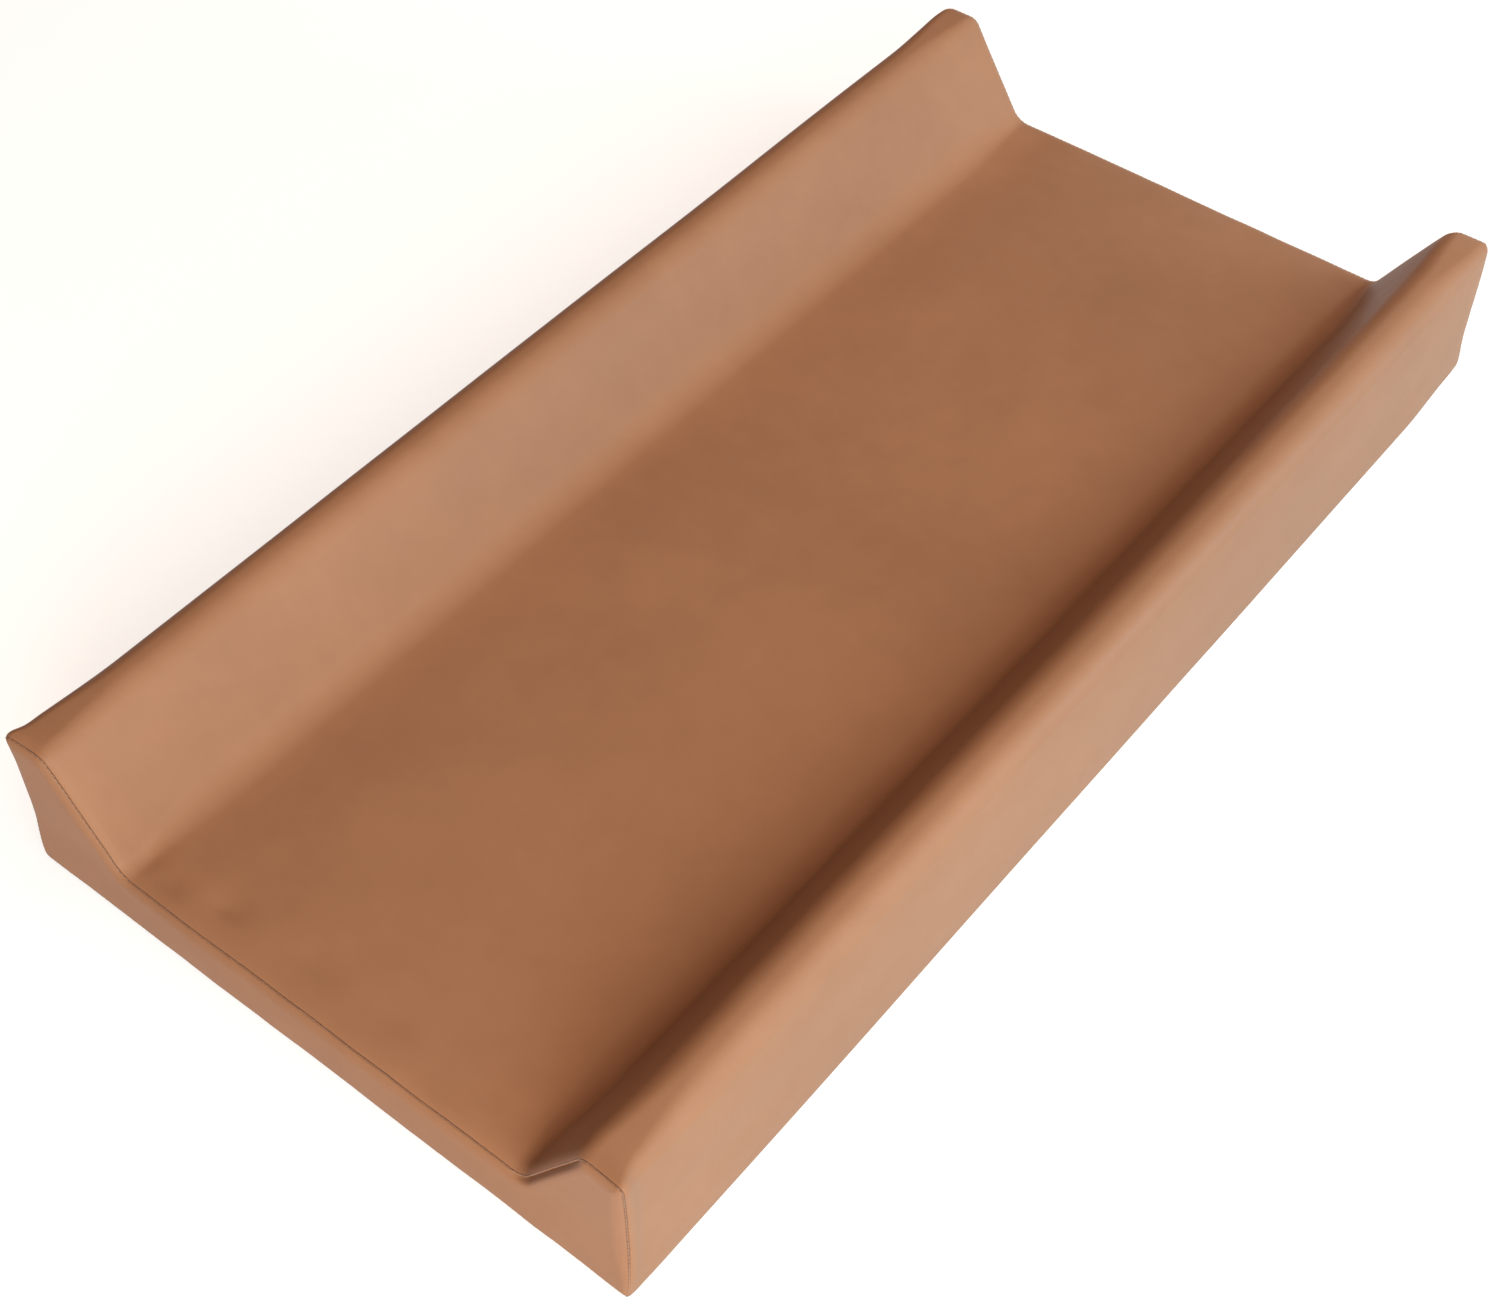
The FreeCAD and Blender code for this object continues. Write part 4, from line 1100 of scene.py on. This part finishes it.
def leather(name, tone, rough, spec):
    """Smooth coated leathercloth: an even colour that drifts slightly, fine pore grain and
    faint stretch marks, with a satin shine."""
    m, N, L, b = node_material(name)
    co = N.new("ShaderNodeTexCoord").outputs["Object"]
    cloud = texture(N, L, "ShaderNodeTexNoise", 7.0, co, Detail=3.0, Roughness=0.55)
    fine = texture(N, L, "ShaderNodeTexNoise", 60.0, co, Detail=4.0, Roughness=0.6)
    both = maths(N, L, "ADD", maths(N, L, "MULTIPLY", cloud.outputs["Fac"], 0.75), maths(N, L, "MULTIPLY", fine.outputs["Fac"], 0.25))
    c = np.array(tone)
    col = ramp(N, L, both, [(0.33, tuple(c * 0.93)), (0.5, tuple(c)), (0.68, tuple(np.minimum(c * 1.07 + 0.002, 1)))])
    L.new(col, b.inputs["Base Color"])
    pores = texture(N, L, "ShaderNodeTexVoronoi", 1150.0, co, Randomness=1.0)
    pores.feature = "F1"
    grain = texture(N, L, "ShaderNodeTexNoise", 700.0, co, Detail=3.0, Roughness=0.5)
    slow = texture(N, L, "ShaderNodeTexNoise", 34.0, co, Detail=2.0, Roughness=0.5)
    height = maths(N, L, "ADD", maths(N, L, "MULTIPLY", pores.outputs["Distance"], 0.5), maths(N, L, "MULTIPLY", grain.outputs["Fac"], 0.5))
    bump = N.new("ShaderNodeBump")
    bump.inputs["Strength"].default_value = 0.16
    bump.inputs["Distance"].default_value = 0.00012
    L.new(height, bump.inputs["Height"])
    wave = N.new("ShaderNodeBump")
    wave.inputs["Strength"].default_value = 0.10
    wave.inputs["Distance"].default_value = 0.0016
    L.new(slow.outputs["Fac"], wave.inputs["Height"])
    L.new(wave.outputs["Normal"], bump.inputs["Normal"])
    L.new(bump.outputs["Normal"], b.inputs["Normal"])
    r = maths(N, L, "ADD", stretch(N, L, cloud.outputs["Fac"], 0.3, 0.7, rough - 0.03, rough + 0.03), stretch(N, L, grain.outputs["Fac"], 0.2, 0.8, -0.025, 0.025))
    L.new(r, b.inputs["Roughness"])
    b.inputs["Specular IOR Level"].default_value = spec
    return m


def woven(name, dark, light, pitch, rough=0.8, depth=0.00012, axes="XZ"):
    """A plain weave: two sets of rounded yarns that go over and under each other."""
    m, N, L, b = node_material(name)
    co = N.new("ShaderNodeTexCoord").outputs["Object"]
    sep = N.new("ShaderNodeSeparateXYZ")
    L.new(co, sep.inputs[0])
    k = math.pi / pitch
    u = maths(N, L, "SINE", maths(N, L, "MULTIPLY", sep.outputs[axes[0]], k), 0)
    v = maths(N, L, "SINE", maths(N, L, "MULTIPLY", sep.outputs[axes[1]], k), 0)
    cell = maths(N, L, "MULTIPLY", u, v)
    over = maths(N, L, "ABSOLUTE", cell, 0)
    shade = maths(N, L, "ADD", maths(N, L, "MULTIPLY", cell, 0.25), maths(N, L, "MULTIPLY", over, 0.6))
    fuzz = texture(N, L, "ShaderNodeTexNoise", 900.0, co, Detail=3.0)
    shade = maths(N, L, "ADD", shade, maths(N, L, "MULTIPLY", fuzz.outputs["Fac"], 0.35))
    L.new(ramp(N, L, shade, [(0.1, dark), (0.75, light)]), b.inputs["Base Color"])
    bump = N.new("ShaderNodeBump")
    bump.inputs["Strength"].default_value = 0.7
    bump.inputs["Distance"].default_value = depth
    L.new(shade, bump.inputs["Height"])
    L.new(bump.outputs["Normal"], b.inputs["Normal"])
    L.new(stretch(N, L, fuzz.outputs["Fac"], 0.2, 0.8, rough - 0.06, rough + 0.06), b.inputs["Roughness"])
    b.inputs["Sheen Weight"].default_value = 0.15
    return m


def grip(name):
    """Underside cloth: a close brown weave with rows of small raised rubber dots."""
    m, N, L, b = node_material(name)
    co = N.new("ShaderNodeTexCoord").outputs["Object"]
    sep = N.new("ShaderNodeSeparateXYZ")
    L.new(co, sep.inputs[0])
    step = 0.0065
    kx = maths(N, L, "COSINE", maths(N, L, "MULTIPLY", maths(N, L, "ADD", sep.outputs["X"], sep.outputs["Y"]), math.pi / step), 0)
    ky = maths(N, L, "COSINE", maths(N, L, "MULTIPLY", maths(N, L, "SUBTRACT", sep.outputs["X"], sep.outputs["Y"]), math.pi / step), 0)
    dot = maths(N, L, "MULTIPLY", kx, ky)
    dot = stretch(N, L, dot, 0.55, 0.78, 0.0, 1.0)
    u = maths(N, L, "SINE", maths(N, L, "MULTIPLY", sep.outputs["X"], math.pi / 0.0006), 0)
    v = maths(N, L, "SINE", maths(N, L, "MULTIPLY", sep.outputs["Y"], math.pi / 0.0006), 0)
    weave = maths(N, L, "MULTIPLY", u, v)
    fuzz = texture(N, L, "ShaderNodeTexNoise", 240.0, co, Detail=4.0)
    cloth = maths(N, L, "ADD", maths(N, L, "MULTIPLY", weave, 0.22), fuzz.outputs["Fac"])
    cloth_col = ramp(N, L, cloth, [(0.25, (0.060, 0.034, 0.022)), (0.8, (0.125, 0.075, 0.048))])
    mix = N.new("ShaderNodeMix")
    mix.data_type = "RGBA"
    L.new(dot, mix.inputs[0])
    L.new(cloth_col, mix.inputs[6])
    mix.inputs[7].default_value = (0.030, 0.019, 0.014, 1)
    L.new(mix.outputs[2], b.inputs["Base Color"])
    height = maths(N, L, "ADD", maths(N, L, "MULTIPLY", cloth, 0.15), dot)
    bump = N.new("ShaderNodeBump")
    bump.inputs["Strength"].default_value = 0.8
    bump.inputs["Distance"].default_value = 0.0006
    L.new(height, bump.inputs["Height"])
    L.new(bump.outputs["Normal"], b.inputs["Normal"])
    L.new(stretch(N, L, dot, 0.0, 1.0, 0.88, 0.5), b.inputs["Roughness"])
    return m


def thread(name, tone):
    """Twisted polyester sewing thread."""
    m, N, L, b = node_material(name)
    co = N.new("ShaderNodeTexCoord").outputs["Object"]
    twist = texture(N, L, "ShaderNodeTexWave", 700.0, co, Distortion=2.0, Detail=2.0)
    twist.bands_direction = "DIAGONAL"
    c = np.array(tone)
    L.new(ramp(N, L, twist.outputs["Fac"], [(0.2, tuple(c * 0.6)), (0.8, tuple(c))]), b.inputs["Base Color"])
    bump = N.new("ShaderNodeBump")
    bump.inputs["Strength"].default_value = 0.6
    bump.inputs["Distance"].default_value = 0.00006
    L.new(twist.outputs["Fac"], bump.inputs["Height"])
    L.new(bump.outputs["Normal"], b.inputs["Normal"])
    L.new(stretch(N, L, twist.outputs["Fac"], 0, 1, 0.55, 0.4), b.inputs["Roughness"])
    b.inputs["Sheen Weight"].default_value = 0.2
    return m


def foam(name):
    """Open-cell polyurethane foam."""
    m, N, L, b = node_material(name)
    co = N.new("ShaderNodeTexCoord").outputs["Object"]
    cells = texture(N, L, "ShaderNodeTexVoronoi", 900.0, co, Randomness=1.0)
    cells.feature = "F1"
    big = texture(N, L, "ShaderNodeTexNoise", 25.0, co, Detail=3.0)
    shade = maths(N, L, "ADD", maths(N, L, "MULTIPLY", cells.outputs["Distance"], 0.8), maths(N, L, "MULTIPLY", big.outputs["Fac"], 0.3))
    L.new(ramp(N, L, shade, [(0.1, (0.52, 0.47, 0.36)), (0.7, (0.86, 0.82, 0.70))]), b.inputs["Base Color"])
    bump = N.new("ShaderNodeBump")
    bump.inputs["Strength"].default_value = 0.8
    bump.inputs["Distance"].default_value = 0.0005
    bump.invert = True
    L.new(cells.outputs["Distance"], bump.inputs["Height"])
    L.new(bump.outputs["Normal"], b.inputs["Normal"])
    L.new(stretch(N, L, big.outputs["Fac"], 0.2, 0.8, 0.9, 1.0), b.inputs["Roughness"])
    return m


def nylon(name, tone):
    """Moulded or drawn nylon, slightly clouded."""
    m, N, L, b = node_material(name)
    co = N.new("ShaderNodeTexCoord").outputs["Object"]
    draw = texture(N, L, "ShaderNodeTexNoise", 1400.0, co, Detail=2.0)
    c = np.array(tone)
    L.new(ramp(N, L, draw.outputs["Fac"], [(0.3, tuple(c * 0.8)), (0.7, tuple(c * 1.1))]), b.inputs["Base Color"])
    bump = N.new("ShaderNodeBump")
    bump.inputs["Strength"].default_value = 0.15
    bump.inputs["Distance"].default_value = 0.00004
    L.new(draw.outputs["Fac"], bump.inputs["Height"])
    L.new(bump.outputs["Normal"], b.inputs["Normal"])
    L.new(stretch(N, L, draw.outputs["Fac"], 0.2, 0.8, 0.28, 0.42), b.inputs["Roughness"])
    return m


def metal(name):
    """Zinc casting with a dark bronze plating that is rubbed brighter on its high spots."""
    m, N, L, b = node_material(name)
    tc = N.new("ShaderNodeTexCoord")
    co = tc.outputs["Object"]
    wear = texture(N, L, "ShaderNodeTexNoise", 420.0, co, Detail=5.0, Roughness=0.65)
    geo = N.new("ShaderNodeNewGeometry")
    edge = stretch(N, L, geo.outputs["Pointiness"], 0.5, 0.62, 0.0, 1.0)
    worn = maths(N, L, "MULTIPLY", edge, wear.outputs["Fac"])
    mixed = maths(N, L, "ADD", maths(N, L, "MULTIPLY", wear.outputs["Fac"], 0.5), worn)
    L.new(ramp(N, L, mixed, [(0.15, (0.16, 0.105, 0.065)), (0.5, (0.33, 0.225, 0.14)), (1.0, (0.62, 0.47, 0.32))]), b.inputs["Base Color"])
    b.inputs["Metallic"].default_value = 1.0
    L.new(stretch(N, L, wear.outputs["Fac"], 0.2, 0.8, 0.24, 0.42), b.inputs["Roughness"])
    bump = N.new("ShaderNodeBump")
    bump.inputs["Strength"].default_value = 0.12
    bump.inputs["Distance"].default_value = 0.00008
    L.new(wear.outputs["Fac"], bump.inputs["Height"])
    L.new(bump.outputs["Normal"], b.inputs["Normal"])
    return m


LEATHER = leather("faux_leather_brown", (0.240, 0.117, 0.065), 0.50, 0.13)
GRIP = grip("underside_grip_cloth")
THREAD = thread("brown_thread", (0.27, 0.125, 0.068))
TAPE = woven("zip_tape_weave", (0.085, 0.035, 0.018), (0.20, 0.085, 0.042), 0.00075)
COIL = nylon("zip_coil_nylon", (0.13, 0.055, 0.028))
FOAM = foam("open_cell_foam")
METAL = metal("bronzed_zinc")


def dress(ob, material):
    ob.data.materials.clear()
    ob.data.materials.append(material)


for ob in (top_wrap, front_panel, rear_upper, rear_lower):
    dress(ob, LEATHER)
dress(base_cover, GRIP)
for ob in (front_thread, rear_thread, base_thread, stitch_up, stitch_dn):
    dress(ob, THREAD)
for ob in (tape_up, tape_dn):
    dress(ob, TAPE)
for ob in (coil_up, coil_dn):
    dress(ob, COIL)
for ob in (foam_slab, foam_left, foam_right):
    dress(ob, FOAM)
for node in ("zip_slider", "zip_pull_tab", "zip_end_stops"):
    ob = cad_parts[node]
    if not ob.material_slots:
        ob.data.materials.append(METAL)
    for slot in ob.material_slots:
        slot.material = METAL

# ------------------------------------------------------------------ stage, light, camera
scene = bpy.context.scene
bpy.ops.mesh.primitive_plane_add(size=14, location=(0, 0, 0))
floor = bpy.context.object
floor.name = "floor"
fm, N, L, b = node_material("floor_white")
b.inputs["Base Color"].default_value = (0.38, 0.38, 0.38, 1)
b.inputs["Roughness"].default_value = 0.8
b.inputs["Specular IOR Level"].default_value = 0.1
b.inputs["Emission Color"].default_value = (1, 1, 1, 1)
b.inputs["Emission Strength"].default_value = 0.68
floor.data.materials.append(fm)

world = bpy.data.worlds.new("studio")
scene.world = world
world.use_nodes = True
wn, wl = world.node_tree.nodes, world.node_tree.links
wn.clear()
room = wn.new("ShaderNodeBackground")
room.inputs["Color"].default_value = (1, 1, 1, 1)
room.inputs["Strength"].default_value = WORLD
seen = wn.new("ShaderNodeBackground")
seen.inputs["Color"].default_value = (1, 1, 1, 1)
seen.inputs["Strength"].default_value = 0.72
path = wn.new("ShaderNodeLightPath")
mix = wn.new("ShaderNodeMixShader")
world_out = wn.new("ShaderNodeOutputWorld")
wl.new(path.outputs["Is Camera Ray"], mix.inputs[0])
wl.new(room.outputs[0], mix.inputs[1])
wl.new(seen.outputs[0], mix.inputs[2])
wl.new(mix.outputs[0], world_out.inputs[0])


def soft_box(name, direction, power, colour, width, height, distance=2.3, target=(0, 0, 0.05)):
    data = bpy.data.lights.new(name, "AREA")
    data.shape = "RECTANGLE"
    data.size, data.size_y = width, height
    data.energy = power
    data.color = colour
    ob = bpy.data.objects.new(name, data)
    scene.collection.objects.link(ob)
    d = Vector(direction).normalized()
    ob.location = Vector(target) + d * distance
    ob.rotation_euler = (-d).to_track_quat("-Z", "Y").to_euler()
    return ob


for name, direction, power, colour, width, height in LIGHTS:
    soft_box(name, direction, power, colour, width, height)
# under the floor, for looking at the underside with the floor taken away
soft_box("under_fill", (-0.2, -0.3, -1.0), 40.0, (1.0, 1.0, 1.0), 1.5, 1.1)

camera_data = bpy.data.cameras.new("photo_view")
camera_data.sensor_fit = "HORIZONTAL"
camera_data.sensor_width = 36.0
camera_data.lens = 57.81
camera_data.clip_start = 0.01
camera = bpy.data.objects.new("photo_view", camera_data)
scene.collection.objects.link(camera)
forward = Vector((-0.41048, 0.51254, -0.75420)).normalized()
right = forward.cross(Vector((0, 0, 1))).normalized()
up = right.cross(forward)
turn = math.radians(-0.164)
r2 = right * math.cos(turn) + up * math.sin(turn)
u2 = up * math.cos(turn) - right * math.sin(turn)
camera.matrix_world = Matrix((
    (r2.x, u2.x, -forward.x, 0.56417),
    (r2.y, u2.y, -forward.y, -0.76696),
    (r2.z, u2.z, -forward.z, 1.03653),
    (0, 0, 0, 1),
))
scene.camera = camera
scene.view_settings.view_transform = "Standard"
